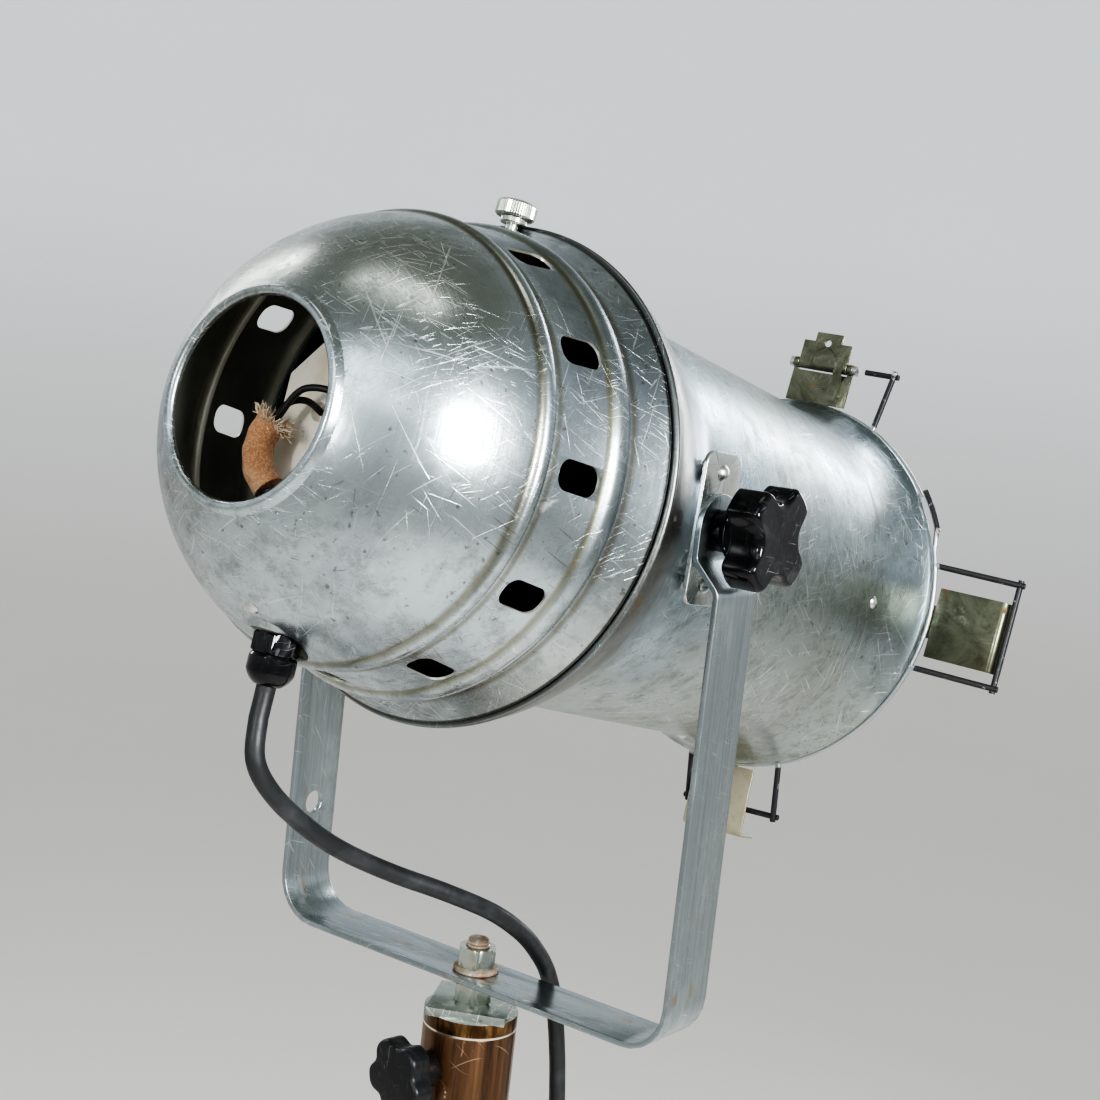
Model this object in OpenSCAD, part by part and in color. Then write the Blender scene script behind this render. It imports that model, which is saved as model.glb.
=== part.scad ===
// Tripod spotlight floor lamp: a spun aluminium can for a sealed-beam lamp, with a domed rear cap,
// hung in a flat-bar yoke on a telescopic column with three folding legs.
// Millimetres. +Z is up and the lamp faces -Y, nose down a little. The floor is z = 0.

/* [Stand] */
// Height of the tilt axis above the floor, column lowered
tilt_height = 1500; // [1450:5:1600]
// Height of the leg pivots above the floor
pivot_height = 540; // [510:5:570]
// Distance of each leg pivot from the stand's axis
pivot_reach = 64; // [62:1:72]
// Distance of each foot's middle from the stand's axis
foot_reach = 420; // [380:5:460]
// Outside diameter of the leg tubes
leg_d = 32; // [30:1:34]
// Wall of the leg tubes
leg_wall = 2; // [1.5:0.5:3]
// Radius of the rubber feet
foot_r = 20; // [18.5:0.5:23]
// Height of each foot's middle above the floor
foot_rise = 13; // [11:1:15]
// Width of a leg knuckle between its two cheeks
knuckle_w = 20; // [16:1:22]
// Thickness of each hub cheek
cheek_t = 7; // [5:1:9]
// Radius of the leg pivot bolts
pivot_bolt_r = 4; // [3:0.5:5]
// Outside radius of the cast hub
hub_r = 42; // [38:1:44]
// Outside diameter of the lower tube
lower_d = 57; // [56:1:60]
// Height of the lower tube's top end
lower_top = 840; // [800:5:870]
// Outside diameter of the column tube
column_d = 50; // [46:1:50]
// Wall of the column tube
column_wall = 2; // [1.5:0.5:3]
// How far the column slides up
column_travel = 380; // [300:10:390]
// How much of the column stays in the lower tube when it is raised
column_overlap = 109; // [100:1:115]

/* [Yoke] */
// Drop from the tilt axis to the top face of the yoke's bottom bar
yoke_drop = 253; // [246:1:265]
// Width of the yoke bar
yoke_w = 35; // [32:1:38]
// Thickness of the yoke bar
yoke_t = 3; // [2.5:0.5:4]
// Bend radius of the yoke's bottom corners, on the bar's middle line
yoke_bend = 23.5; // [18:0.5:30]
// Radius of the safety-bond hole in the far arm
bond_hole_r = 6.25; // [5:0.25:8]
// Distance of that hole below the tilt axis
bond_hole_drop = 192.5; // [170:1:205]
// Side of the square plate on the column's top
top_plate_side = 42; // [40:1:46]
// Thickness of the square plate
top_plate_t = 4.5; // [3:0.5:6]
// Radius of the pan stud
pan_stud_r = 6; // [5:0.5:7]
// Width of the pan nuts across their flats
pan_nut_af = 19; // [17:0.5:22]
// Height of each pan nut
pan_nut_h = 10.8; // [9:0.2:13]
// Radius of the pan washers
washer_r = 12; // [12:0.5:15]
// Thickness of the pan washers
washer_t = 2.5; // [1.5:0.5:3]

/* [Lamp head] */
// How far the lamp points below level
tilt_down = 12; // [5:1:20]
// Outside radius of the can's barrel
can_r = 105; // [104:0.5:107]
// Wall of the spun aluminium
sheet_t = 1.1; // [0.9:0.1:1.5]
// Distance of the can's front edge ahead of the tilt axis
can_front = 256; // [256:1:262]
// Radius of the can's rolled front lip
lip_r = 116; // [114:0.5:118]
// Radius of the can's rear flange
flange_r = 125; // [124:0.5:128]
// Distance of the rear flange behind the tilt axis
flange_back = 58.5; // [57:0.5:62]
// Radius of the cap's dome
dome_r = 109.6; // [108:0.2:111]
// Distance of the dome's centre behind the tilt axis
dome_back = 106; // [105:0.5:108]
// Radius of the opening in the back of the cap
rear_hole_r = 45; // [38:1:50]
// Number of vent slots round the cap
slot_count = 12; // [8:1:14]
// Length of a vent slot along the lamp
slot_length = 24; // [18:1:25]
// Width of a vent slot
slot_width = 14; // [10:1:16]
// Width of each colour-frame clip
clip_w = 42; // [36:1:46]
// Reach of the clips from the lamp's axis
clip_reach = 158.5; // [152:0.5:162]
// Depth of the clips' outer walls
clip_depth = 16; // [12:1:20]
// Thickness of the clips
clip_t = 1.5; // [1.2:0.1:2]
// Diameter of the guard's wire
guard_wire_d = 3.6; // [3:0.2:4]
// Radius of the lamp's rim
lamp_r = 101.5; // [100:0.5:101.5]

/* [Brackets and knobs] */
// Thickness of the tilt brackets
bracket_t = 2.5; // [2:0.5:3]
// Distance from the can's barrel to the brackets' outer faces
bracket_off = 8.6; // [8.6:0.2:9.4]
// Distance between a bracket's two screws
bracket_span = 54; // [54:1:58]
// Width of a bracket
bracket_w = 32; // [28:1:32]
// Length of a bracket beyond its screws
bracket_end = 10; // [8:1:12]
// Radius of the tilt studs
stud_r = 5; // [4:0.5:6]
// Diameter of the tilt knobs
tilt_knob_d = 55; // [45:1:60]
// Thickness of a tilt knob's head
tilt_knob_t = 18; // [14:1:20]
// Length of a tilt knob's hub, from arm to head
tilt_hub_l = 16; // [12:1:20]
// Diameter of the column's star knob and of the height knob
star_knob_d = 40; // [34:1:44]
// Radius of the screws in the star knobs
star_screw_r = 4; // [3:0.5:5]
// Diameter of the cap's thumbscrew head
thumb_d = 20; // [16:1:24]

/* [Lead] */
// Diameter of the mains lead
lead_d = 9; // [9:0.1:9.4]
// Middle radius of the coil's outer loops
coil_r = 56; // [52:1:60]
// Loops in each layer of the coil
coil_loops = 2; // [1:1:3]

/* [Hidden] */
$fn = 96;

// Clearances
run_gap = 0.05; // a shaft in its hole
seat_gap = 0.1; // two pieces that touch
loose_gap = 0.3; // pieces that pass each other
press_gap = 0.02; // a tight fit

// Turns of the three legs round the stand, and the leg's own line
LEG_TURNS = [270, 30, 150];
leg_out = foot_reach - pivot_reach;
leg_down = pivot_height - foot_rise;
leg_angle = atan(leg_out / leg_down);
leg_length = sqrt(leg_out * leg_out + leg_down * leg_down);
leg_r = leg_d / 2;
eye_r = pivot_bolt_r + 8;
knuckle_end = 34;
plug_end = 80;

// The stand's axis sits so that the frame's origin is under the middle of the whole lamp
foot_front_reach = foot_reach + foot_r;
foot_rear_reach = foot_reach * sin(30) + foot_r;
stand_y = (foot_front_reach - foot_rear_reach) / 2;

// Column and top fitting, measured down from the tilt axis
strap_top = tilt_height - yoke_drop;
strap_bottom = strap_top - yoke_t;
plate_top = strap_bottom - washer_t - pan_nut_h;
plate_bottom = plate_top - top_plate_t;
collar_h = 8.5;
column_top = plate_bottom - collar_h;
column_r = column_d / 2;
column_in = column_r - column_wall;
end_cap_t = 6;
lower_bottom = lower_top - column_travel - column_overlap - end_cap_t;
column_bottom = lower_bottom + end_cap_t + seat_gap;
spigot_l = 60;
column_knob_z = column_top - 20;
height_knob_z = lower_top + 6;
collar_r = lower_d / 2 + 8;
knob_turn = 81; // the two star knobs point almost straight back
lower_r = lower_d / 2;
lower_in = column_r + loose_gap;

// Head: distances along the lamp's axis are measured forward from the tilt axis
can_in = can_r - sheet_t;
neck_end = 8;
flare_start = can_front - 51;
flare_r = 109;
lip_roll_r = 4;
ring_r = flange_r - 12.4; // the ring inside the flange that carries the cap
ring_back = flange_back + 21.5;
bracket_face = can_r + bracket_off;
arm_in = bracket_face + seat_gap;
yoke_half = flange_r + 2.6 + yoke_t / 2;
arm_r = yoke_w / 2;
joggle_top = -14;
joggle_bottom = joggle_top - (yoke_half - arm_in - yoke_t / 2);
bracket_turn = 7;

// Cap
cap_bead_r = dome_r - 2.1;
cap_bead_back = dome_back + 27.6;
skirt_bead_r = flange_r - 9;
skirt_bead_back = flange_back + 30.5;
skirt_end = -(flange_back + 3.5);
slot_back = (cap_bead_back + skirt_bead_back) / 2;
gland_back = dome_back + 47;
gland_face = 101.5; // the flat seat pressed in the dome, from the lamp's axis
gland_af = 19.6;
gland_hex_h = 7.5;
gland_dome_h = 11;
gland_grip = 3; // how far the nut reaches over the thread
gland_thread_r = 8;
seat_r = 14;
thumb_back = flange_back + 9.5;
cap_rivet_turn = 38; // of the dome's rivet, from straight down towards the back
thumb_turn = 92;

// Clips and guard
clip_plane = can_front + guard_wire_d + 1.4;
leg_half = 10; // half the width of a clip's leg
clip_leg_r = sqrt(can_in * can_in - leg_half * leg_half) - clip_t / 2 - run_gap;
clip_leg_back = can_front - 64;
rivet_back = can_front - 53.5;
rivet_r = 2;
CLIP_TURNS = [182.5, 0, 269]; // near side, far side, bottom
latch_turn = 93;
hinge_r = 141.5;
hinge_fwd = clip_plane;
latch_pin_r = 1.5;
latch_roll_r = 3.5;
guard_plane = can_front + guard_wire_d / 2 + 0.3;
hoop_r = lip_r - 1;

// Sealed-beam lamp
rim_front = 32;
rim_back = 20;
lamp_wall = 3;
holder_front = -98.5;
holder_step = -120;
holder_back = -150;

module at_stand() { translate([0, stand_y, 0]) children(); }

// The lamp's own frame: x across, y up, z forward along its axis, from the tilt axis
module at_lamp() {
    translate([0, stand_y, tilt_height]) rotate([90 + tilt_down, 0, 0]) children();
}

// A leg's own frame: z down the leg from its pivot, -x up and out
module at_leg(i) {
    at_stand() rotate([0, 0, LEG_TURNS[i]]) translate([pivot_reach, 0, pivot_height])
        rotate([0, 180 - leg_angle, 0]) children();
}

// x points outwards from the lamp's axis, y across, z forward
module round_lamp(turn, fwd = 0) { rotate([0, 0, turn]) translate([0, 0, fwd]) children(); }

function unit(v) = v / norm(v);
function left(v) = [-v[1], v[0]];
function polar(r, turn) = [r * cos(turn), r * sin(turn), 0];
function heading(p, i) = unit(p[min(i + 1, len(p) - 1)] - p[max(i - 1, 0)]);
function beside(p, d) = [for (i = [0:len(p) - 1]) p[i] + d * left(heading(p, i))];
function reversed(p) = [for (i = [len(p) - 1:-1:0]) p[i]];
function arc(x, y, r, from, to, n = 10) =
    [for (i = [0:n]) let (a = from + (to - from) * i / n) [x + r * cos(a), y + r * sin(a)]];

// The points of a round bend of radius r at corner i of the line p
function bend(p, i, r, n = 6) = let (
    a = unit(p[i - 1] - p[i]), b = unit(p[i + 1] - p[i]), half = acos(a * b) / 2,
    c = p[i] + unit(a + b) * r / sin(half), s = p[i] + a * r / tan(half), e = p[i] + b * r / tan(half),
    s_turn = atan2(s[1] - c[1], s[0] - c[0]), e_turn = atan2(e[1] - c[1], e[0] - c[0]),
    d = e_turn - s_turn, turn = d > 180 ? d - 360 : d < -180 ? d + 360 : d)
    arc(c[0], c[1], r, s_turn, s_turn + turn, n);
function bent(p, r) = [p[0], for (i = [1:len(p) - 2]) each bend(p, i, r[i - 1]), p[len(p) - 1]];

// Sheet whose outer face follows p, and bar whose middle follows p
module sheet(p, t) { polygon(concat(p, reversed(beside(p, t)))); }
module bar(p, t) { polygon(concat(beside(p, -t / 2), reversed(beside(p, t / 2)))); }

module tube(r, inner, h) {
    difference() {
        cylinder(r = r, h = h);
        translate([0, 0, -1]) cylinder(r = inner, h = h + 2);
    }
}

module hexagon(af, h) { cylinder(r = af / sqrt(3), h = h, $fn = 6); }

// A domed head on z = 0
module dome_head(r, h) {
    sphere_r = (r * r + h * h) / (2 * h);
    intersection() {
        translate([0, 0, h - sphere_r]) sphere(r = sphere_r);
        cylinder(r = r, h = h + 1);
    }
}

// A round-headed rivet along z: head outside, from z = 0 up, its tail spread below the depth
module rivet(r, head_r, head_h, depth) {
    dome_head(head_r, head_h);
    translate([0, 0, -depth - 0.5]) cylinder(r = r, h = depth + 0.5 + head_h / 2);
    translate([0, 0, -depth - 1]) cylinder(r = head_r, h = 1);
}

// ---------------------------------------------------------------- stand

bridge_in = eye_r + 0.15;
bridge_from = 9;
bridge_to = 29;
bridge_t = 7;
cheek_in = knuckle_w / 2 + loose_gap;
cheek_out = cheek_in + cheek_t;
hub_below = 34;
hub_above = 28;

module cheek_outline() {
    // in the leg's plane: x outwards from the pivot, y up
    out = [sin(leg_angle), -cos(leg_angle)];
    up = [cos(leg_angle), sin(leg_angle)];
    top = up * (bridge_in + bridge_t);
    circle(r = eye_r + 3);
    polygon([[hub_r - pivot_reach - 4, -eye_r - 12], [0, -eye_r - 3], [0, eye_r + 3],
             [hub_r - pivot_reach - 4, hub_above - 4]]);
    polygon([[0, eye_r + 3], out * bridge_from / 2 + top, out * bridge_to + top,
             out * bridge_to + up * bridge_in, out * bridge_to, [0, -eye_r - 3], [-eye_r, 0]]);
}

module hub_casting() {
    color("#4b4038") {
        at_stand() difference() {
            union() {
                translate([0, 0, pivot_height - hub_below]) cylinder(r = hub_r, h = hub_below + hub_above);
                for (turn = LEG_TURNS, side = [-1, 1])
                    rotate([0, 0, turn])
                        translate([pivot_reach, side * (cheek_in + cheek_t / 2) + cheek_t / 2, pivot_height])
                            rotate([90, 0, 0]) linear_extrude(cheek_t) cheek_outline();
            }
            translate([0, 0, pivot_height - hub_below - 1])
                cylinder(r = lower_r + seat_gap, h = hub_below + hub_above + 2);
            for (turn = LEG_TURNS) rotate([0, 0, turn])
                translate([pivot_reach, 0, pivot_height]) rotate([90, 0, 0])
                    cylinder(r = pivot_bolt_r + press_gap, h = 4 * cheek_out, center = true);
            for (turn = LEG_TURNS) rotate([0, 0, turn + 180]) translate([0, 0, pivot_height])
                rotate([0, 90, 0]) cylinder(r = 4 + press_gap, h = hub_r + 1);
        }
        for (i = [0:2]) at_leg(i)
            translate([-bridge_in - bridge_t, -cheek_in, bridge_from])
                cube([bridge_t, 2 * cheek_in, bridge_to - bridge_from]);
    }
}

module lower_tube() {
    color("#6b4a2c") at_stand() translate([0, 0, lower_bottom])
        tube(lower_r, lower_in, lower_top - lower_bottom);
}

module tube_end_cap() {
    color("#1d1d1d") at_stand() {
        translate([0, 0, lower_bottom - 4]) cylinder(r = lower_r + 1, h = 4 - press_gap);
        translate([0, 0, lower_bottom - 1]) cylinder(r = lower_in - seat_gap, h = end_cap_t + 1);
    }
}

module clamp_collar() {
    color("#4b4038") at_stand() difference() {
        union() {
            translate([0, 0, lower_top - 30]) cylinder(r = collar_r, h = 46);
            translate([0, 0, height_knob_z]) rotate([0, 0, knob_turn]) rotate([0, 90, 0])
                cylinder(r = 9.5, h = collar_r + 7);
        }
        translate([0, 0, lower_top - 31]) cylinder(r = lower_r + press_gap, h = 31 + press_gap);
        translate([0, 0, lower_top - 1]) cylinder(r = column_r + run_gap, h = 40);
        translate([0, 0, height_knob_z]) rotate([0, 0, knob_turn]) rotate([0, 90, 0])
            cylinder(r = star_screw_r + run_gap, h = 2 * collar_r);
    }
}

module hub_screws() {
    color("#8d8d88") at_stand() for (turn = LEG_TURNS) rotate([0, 0, turn + 180])
        translate([lower_r + seat_gap, 0, pivot_height]) rotate([0, 90, 0]) {
            cylinder(r = 4, h = hub_r - lower_r);
            translate([0, 0, hub_r - lower_r]) hexagon(13, 5.3);
        }
}

module pivot_bolts() {
    color("#8d8d88") at_stand() for (turn = LEG_TURNS) rotate([0, 0, turn])
        translate([pivot_reach, cheek_out, pivot_height]) rotate([90, 0, 0]) {
            translate([0, 0, -5.3]) hexagon(13, 5.3);
            cylinder(r = pivot_bolt_r, h = 2 * cheek_out + 9);
            translate([0, 0, 2 * cheek_out]) difference() {
                hexagon(13, 6.5);
                translate([0, 0, -1]) cylinder(r = pivot_bolt_r - 0.5, h = 10);
            }
        }
}

module leg(i) {
    color("#6b4a2c") at_leg(i) translate([0, 0, knuckle_end])
        tube(leg_r, leg_r - leg_wall, leg_length - knuckle_end - 6);
}
module leg_front() { leg(0); }
module leg_right() { leg(1); }
module leg_left() { leg(2); }

module knuckle(i) {
    color("#4b4038") at_leg(i) difference() {
        union() {
            rotate([90, 0, 0]) cylinder(r = eye_r, h = knuckle_w, center = true);
            translate([-eye_r, -knuckle_w / 2, 0]) cube([2 * eye_r, knuckle_w, knuckle_end - press_gap]);
            translate([0, 0, knuckle_end - 2])
                cylinder(r = leg_r - leg_wall - press_gap, h = plug_end - knuckle_end + 2);
        }
        rotate([90, 0, 0]) cylinder(r = pivot_bolt_r + run_gap, h = knuckle_w + 2, center = true);
    }
}
module knuckle_front() { knuckle(0); }
module knuckle_right() { knuckle(1); }
module knuckle_left() { knuckle(2); }

module foot(i) {
    color("#1d1d1d") difference() {
        union() {
            at_leg(i) translate([0, 0, leg_length - 42]) cylinder(r = foot_r - 1, h = 42);
            at_leg(i) translate([0, 0, leg_length]) sphere(r = foot_r);
        }
        at_leg(i) translate([0, 0, leg_length - 44]) cylinder(r = leg_r + press_gap, h = 38 + press_gap);
        at_stand() translate([0, 0, -100]) cube([2000, 2000, 200], center = true);
    }
}
module foot_front() { foot(0); }
module foot_right() { foot(1); }
module foot_left() { foot(2); }

module star_outline(d, lobes, scallop) {
    difference() {
        circle(r = d / 2);
        for (i = [0:lobes - 1]) rotate([0, 0, 360 / lobes * (i + 0.5)])
            translate([d / 2 + scallop * 0.35, 0]) circle(r = scallop);
    }
}

// A star knob and its screw: the screw's tip at z = 0, the knob's hub from z = hub_at
module star_knob(d, hub_at, hub_l, screw_r) {
    screw_l = hub_at + hub_l + 5;
    color("#1c1c1e") difference() {
        union() {
            translate([0, 0, hub_at]) cylinder(r = d * 0.23, h = hub_l + 1);
            translate([0, 0, hub_at + hub_l]) linear_extrude(12) star_outline(d, 5, d * 0.17);
        }
        translate([0, 0, hub_at - 1]) cylinder(r = screw_r + press_gap, h = screw_l - hub_at + 1 + press_gap);
    }
    color("#9a9a94") cylinder(r = screw_r, h = screw_l);
}

module height_knob() {
    at_stand() translate([0, 0, height_knob_z]) rotate([0, 0, knob_turn])
        translate([column_r + loose_gap, 0, 0]) rotate([0, 90, 0])
            star_knob(star_knob_d, collar_r + 7 - column_r - loose_gap + seat_gap, 8, star_screw_r);
}

module column_tube() {
    color("#7a5230") at_stand() difference() {
        translate([0, 0, column_bottom]) tube(column_r, column_in, column_top - column_bottom);
        translate([0, 0, column_knob_z]) rotate([0, 0, knob_turn]) rotate([0, 90, 0])
            cylinder(r = star_screw_r + run_gap, h = column_d);
    }
}

module column_knob() {
    at_stand() translate([0, 0, column_knob_z]) rotate([0, 0, knob_turn])
        translate([column_in - run_gap + loose_gap, 0, 0]) rotate([0, 90, 0])
            star_knob(star_knob_d, column_wall + run_gap - loose_gap + seat_gap, 14, star_screw_r);
}

// ---------------------------------------------------------------- yoke

module top_plate() {
    color("#9c9c90") at_stand() difference() {
        union() {
            rotate([0, 0, 29]) translate([-top_plate_side / 2, -top_plate_side / 2, plate_bottom])
                cube([top_plate_side, top_plate_side, top_plate_t]);
            translate([0, 0, column_top + seat_gap]) cylinder(r = column_r, h = collar_h);
            translate([0, 0, column_top - spigot_l]) cylinder(r = column_in - run_gap, h = spigot_l + 1);
        }
        translate([0, 0, column_top - spigot_l - 1]) cylinder(r = column_in - 5, h = spigot_l - 6);
        translate([0, 0, column_top - 10]) cylinder(r = pan_stud_r + press_gap, h = 40);
    }
}

module pan_stud() {
    color("#8a7f70") at_stand() translate([0, 0, column_top - 5])
        cylinder(r = pan_stud_r, h = strap_top + washer_t + pan_nut_h + 4.5 - column_top + 5);
}

module pan_nuts() {
    color("#b9bdb0") at_stand() for (z = [plate_top, strap_top + washer_t])
        translate([0, 0, z]) difference() {
            rotate([0, 0, 9]) hexagon(pan_nut_af, pan_nut_h);
            translate([0, 0, -1]) cylinder(r = pan_stud_r + press_gap, h = pan_nut_h + 2);
        }
}

module pan_washers() {
    color("#857464") at_stand() for (z = [strap_bottom - washer_t, strap_top])
        translate([0, 0, z]) tube(washer_r, pan_stud_r + 0.5, washer_t);
}

module yoke_strap() {
    x = arm_in + yoke_t / 2;
    low = -yoke_drop - yoke_t / 2;
    path = bent([[-x, arm_r], [-x, joggle_top], [-yoke_half, joggle_bottom], [-yoke_half, low],
                 [yoke_half, low], [yoke_half, joggle_bottom], [x, joggle_top], [x, arm_r]],
                [6, 6, yoke_bend, yoke_bend, 6, 6]);
    color("#8f99a3") at_stand() translate([0, 0, tilt_height]) difference() {
        intersection() {
            translate([0, arm_r, 0]) rotate([90, 0, 0]) linear_extrude(yoke_w) bar(path, yoke_t);
            union() {
                rotate([0, 90, 0]) cylinder(r = arm_r, h = 4 * yoke_half, center = true);
                translate([-2 * yoke_half, -yoke_w, -2 * yoke_drop])
                    cube([4 * yoke_half, 2 * yoke_w, 2 * yoke_drop]);
            }
        }
        rotate([0, 90, 0]) cylinder(r = stud_r + run_gap, h = 4 * yoke_half, center = true);
        translate([0, 0, -bond_hole_drop]) rotate([0, 90, 0]) cylinder(r = bond_hole_r, h = 2 * yoke_half);
        translate([0, 0, -2 * yoke_drop]) cylinder(r = pan_stud_r + 0.25, h = 1.5 * yoke_drop);
    }
}

module tilt_knob(side) {
    z = bracket_face + seat_gap + yoke_t + seat_gap;
    color("#111113") at_lamp() rotate([0, side * 90, 0]) translate([0, 0, z]) difference() {
        union() {
            cylinder(r = 10, h = tilt_hub_l + 2);
            translate([0, 0, tilt_hub_l]) difference() {
                linear_extrude(tilt_knob_t) rotate([0, 0, 45])
                    star_outline(tilt_knob_d, 4, tilt_knob_d * 0.27);
                translate([0, 0, -1]) cylinder(r = tilt_knob_d * 0.29, h = 6);
            }
            translate([0, 0, tilt_hub_l]) cylinder(r = 10, h = 6);
        }
        translate([0, 0, -1]) cylinder(r = stud_r + run_gap, h = tilt_hub_l + 12);
    }
}
module tilt_knob_near() { tilt_knob(-1); }
module tilt_knob_far() { tilt_knob(1); }

// ---------------------------------------------------------------- can

function neck_r(s) = can_r + (flange_r - 1.8 - can_r)
    * (1 + cos(180 * (s + flange_back) / (neck_end + flange_back))) / 2;

can_profile = concat(
    [[ring_r, -ring_back], [ring_r, -flange_back - 2.2], [flange_r - 2.4, -flange_back - 2]],
    arc(flange_r - 1.8, -flange_back, 1.8, -80, 60, 6),
    [for (i = [1:20]) let (s = -flange_back + 3 + (neck_end + flange_back - 3) * i / 20) [neck_r(s), s]],
    arc(can_r + flare_r, flare_start, flare_r, 180, 158.5, 8),
    arc(lip_r - lip_roll_r, can_front - lip_roll_r, lip_roll_r, -48, 150, 14));

module can_outline() { sheet(can_profile, sheet_t); }

module clip_rivet_holes(r) {
    for (turn = concat(CLIP_TURNS, [latch_turn])) round_lamp(turn, rivet_back)
        rotate([0, 90, 0]) cylinder(r = r, h = 2 * can_r);
}

// Outwards from the lamp's axis at each bracket screw
module bracket_hole_places() {
    for (side = [-1, 1], end = [-1, 1]) rotate([0, side * 90, 0])
        rotate([0, 0, side * -bracket_turn]) translate([0, end * bracket_span / 2, 0]) children();
}

module can_body() {
    color("#b9bec4") at_lamp() difference() {
        rotate_extrude() can_outline();
        clip_rivet_holes(rivet_r + press_gap);
        bracket_hole_places() cylinder(r = 2.5 + 2 * run_gap, h = 2 * can_r);
    }
}

module par_lamp() {
    neck = 28;
    bowl = [for (i = [0:14]) let (t = i / 14, r = neck + (lamp_r - 2 - neck) * t)
        [r, -72 + (rim_back + 72) * pow(t, 1.9)]];
    crown = (lamp_r * lamp_r + 64) / 16;
    half = asin(lamp_r / crown);
    color("#cfd6d8") at_lamp() {
        difference() {
            rotate_extrude() polygon(concat([[0, -88], [neck, -88]], bowl,
                [[lamp_r, rim_back], [lamp_r, rim_front]],
                arc(0, rim_front + 8 - crown, crown, 90 - half, 90, 10)));
            rotate_extrude() polygon(concat([[0, -68], [neck - lamp_wall, -68]],
                [for (p = bowl) p + [-lamp_wall, 1]],
                [[lamp_r - lamp_wall - 1, rim_front - 2], [0, rim_front + 4]]));
        }
        translate([0, 0, -98]) cylinder(r = 22, h = 10 + press_gap);
        for (x = [-8, 8]) translate([x - 1.5, -6, -112]) cube([3, 12, 15]);
    }
}

module lamp_ring() {
    r = can_in - seat_gap;
    lip = lamp_r - 5;
    color("#a9adb0") at_lamp() rotate_extrude() polygon([[r, rim_back], [r, rim_front + 2.3],
        [lip, rim_front + 2.3], [lip, rim_front + 1], [r - 1.2, rim_front + 1], [r - 1.2, rim_back]]);
}

module lamp_spring() {
    color("#8f8f8a") at_lamp() translate([0, 0, rim_back - 1.7]) rotate_extrude()
        translate([can_in - 2.2, 0]) circle(r = 1.6);
}

// A rectangle with round corners
module rounded(w, l, r) {
    square([w - 2 * r, l], center = true);
    square([w, l - 2 * r], center = true);
    for (x = [-1, 1], y = [-1, 1]) translate([x * (w / 2 - r), y * (l / 2 - r)]) circle(r = r);
}

module tilt_brackets() {
    color("#c3c6c4") at_lamp() for (side = [-1, 1]) rotate([0, side * 90, 0])
        rotate([0, 0, side * -bracket_turn]) translate([0, 0, bracket_face - bracket_t])
            linear_extrude(bracket_t) difference() {
                rounded(bracket_w, bracket_span + 2 * bracket_end, 7);
                circle(r = stud_r + press_gap);
                for (end = [-1, 1]) translate([0, end * bracket_span / 2]) circle(r = 2.5 + press_gap);
            }
}

module bracket_spacers() {
    r = 6;
    rearmost = -sin(bracket_turn) * bracket_span / 2 - r;
    color("#a9adb0") at_lamp() difference() {
        bracket_hole_places() translate([0, 0, can_r - 12])
            tube(r, 2.5 + press_gap, bracket_face - bracket_t - can_r + 12);
        translate([0, 0, -50]) cylinder(r = neck_r(rearmost) + press_gap, h = 100);
    }
}

module bracket_screws() {
    color("#9aa0a2") at_lamp() bracket_hole_places() {
        translate([0, 0, can_r - 12]) cylinder(r = 2.5, h = bracket_face - can_r + 13);
        translate([0, 0, bracket_face + press_gap]) dome_head(4.2, 2.4);
        translate([0, 0, can_r - 10.4]) hexagon(8, 4);
    }
}

module tilt_studs() {
    color("#9aa0a2") at_lamp() for (side = [-1, 1]) rotate([0, side * 90, 0]) {
        translate([0, 0, bracket_face - bracket_t - 1.2]) cylinder(r = stud_r + 2.5, h = 1.2 - press_gap);
        translate([0, 0, bracket_face - bracket_t - 1])
            cylinder(r = stud_r, h = bracket_t + 1 + yoke_t + tilt_hub_l + 6);
    }
}

// ---------------------------------------------------------------- clips, latch and guard

// What is cut from both sides of a clip's bent strip, so that its leg is narrower than its plate
module clip_sides() {
    out = lip_r - clip_leg_r + 21;
    for (side = [0, 1]) mirror([0, side, 0]) translate([clip_leg_r - 20, leg_half, clip_leg_back - 10])
        cube([out, clip_w, 200]);
}

module clip(turn) {
    path = bent([[clip_leg_r, clip_leg_back], [clip_leg_r, clip_plane], [clip_reach, clip_plane],
                 [clip_reach, clip_plane + clip_depth]], [2.2, 2.2]);
    color("#8c8878") at_lamp() round_lamp(turn) difference() {
        translate([0, clip_w / 2, 0]) rotate([90, 0, 0]) linear_extrude(clip_w) bar(path, clip_t);
        clip_sides();
        translate([0, 0, rivet_back]) rotate([0, 90, 0]) cylinder(r = rivet_r + press_gap, h = 2 * can_r);
    }
}
module clip_near() { clip(CLIP_TURNS[0]); }
module clip_far() { clip(CLIP_TURNS[1]); }
module clip_bottom() { clip(CLIP_TURNS[2]); }

module clip_rivets() {
    color("#b9bec4") at_lamp() for (turn = concat(CLIP_TURNS, [latch_turn]))
        round_lamp(turn, rivet_back) translate([can_r + press_gap, 0, 0]) rotate([0, 90, 0])
            rivet(rivet_r, 3.6, 1.8, can_r - clip_leg_r + clip_t / 2 + 2 * press_gap);
}

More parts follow.
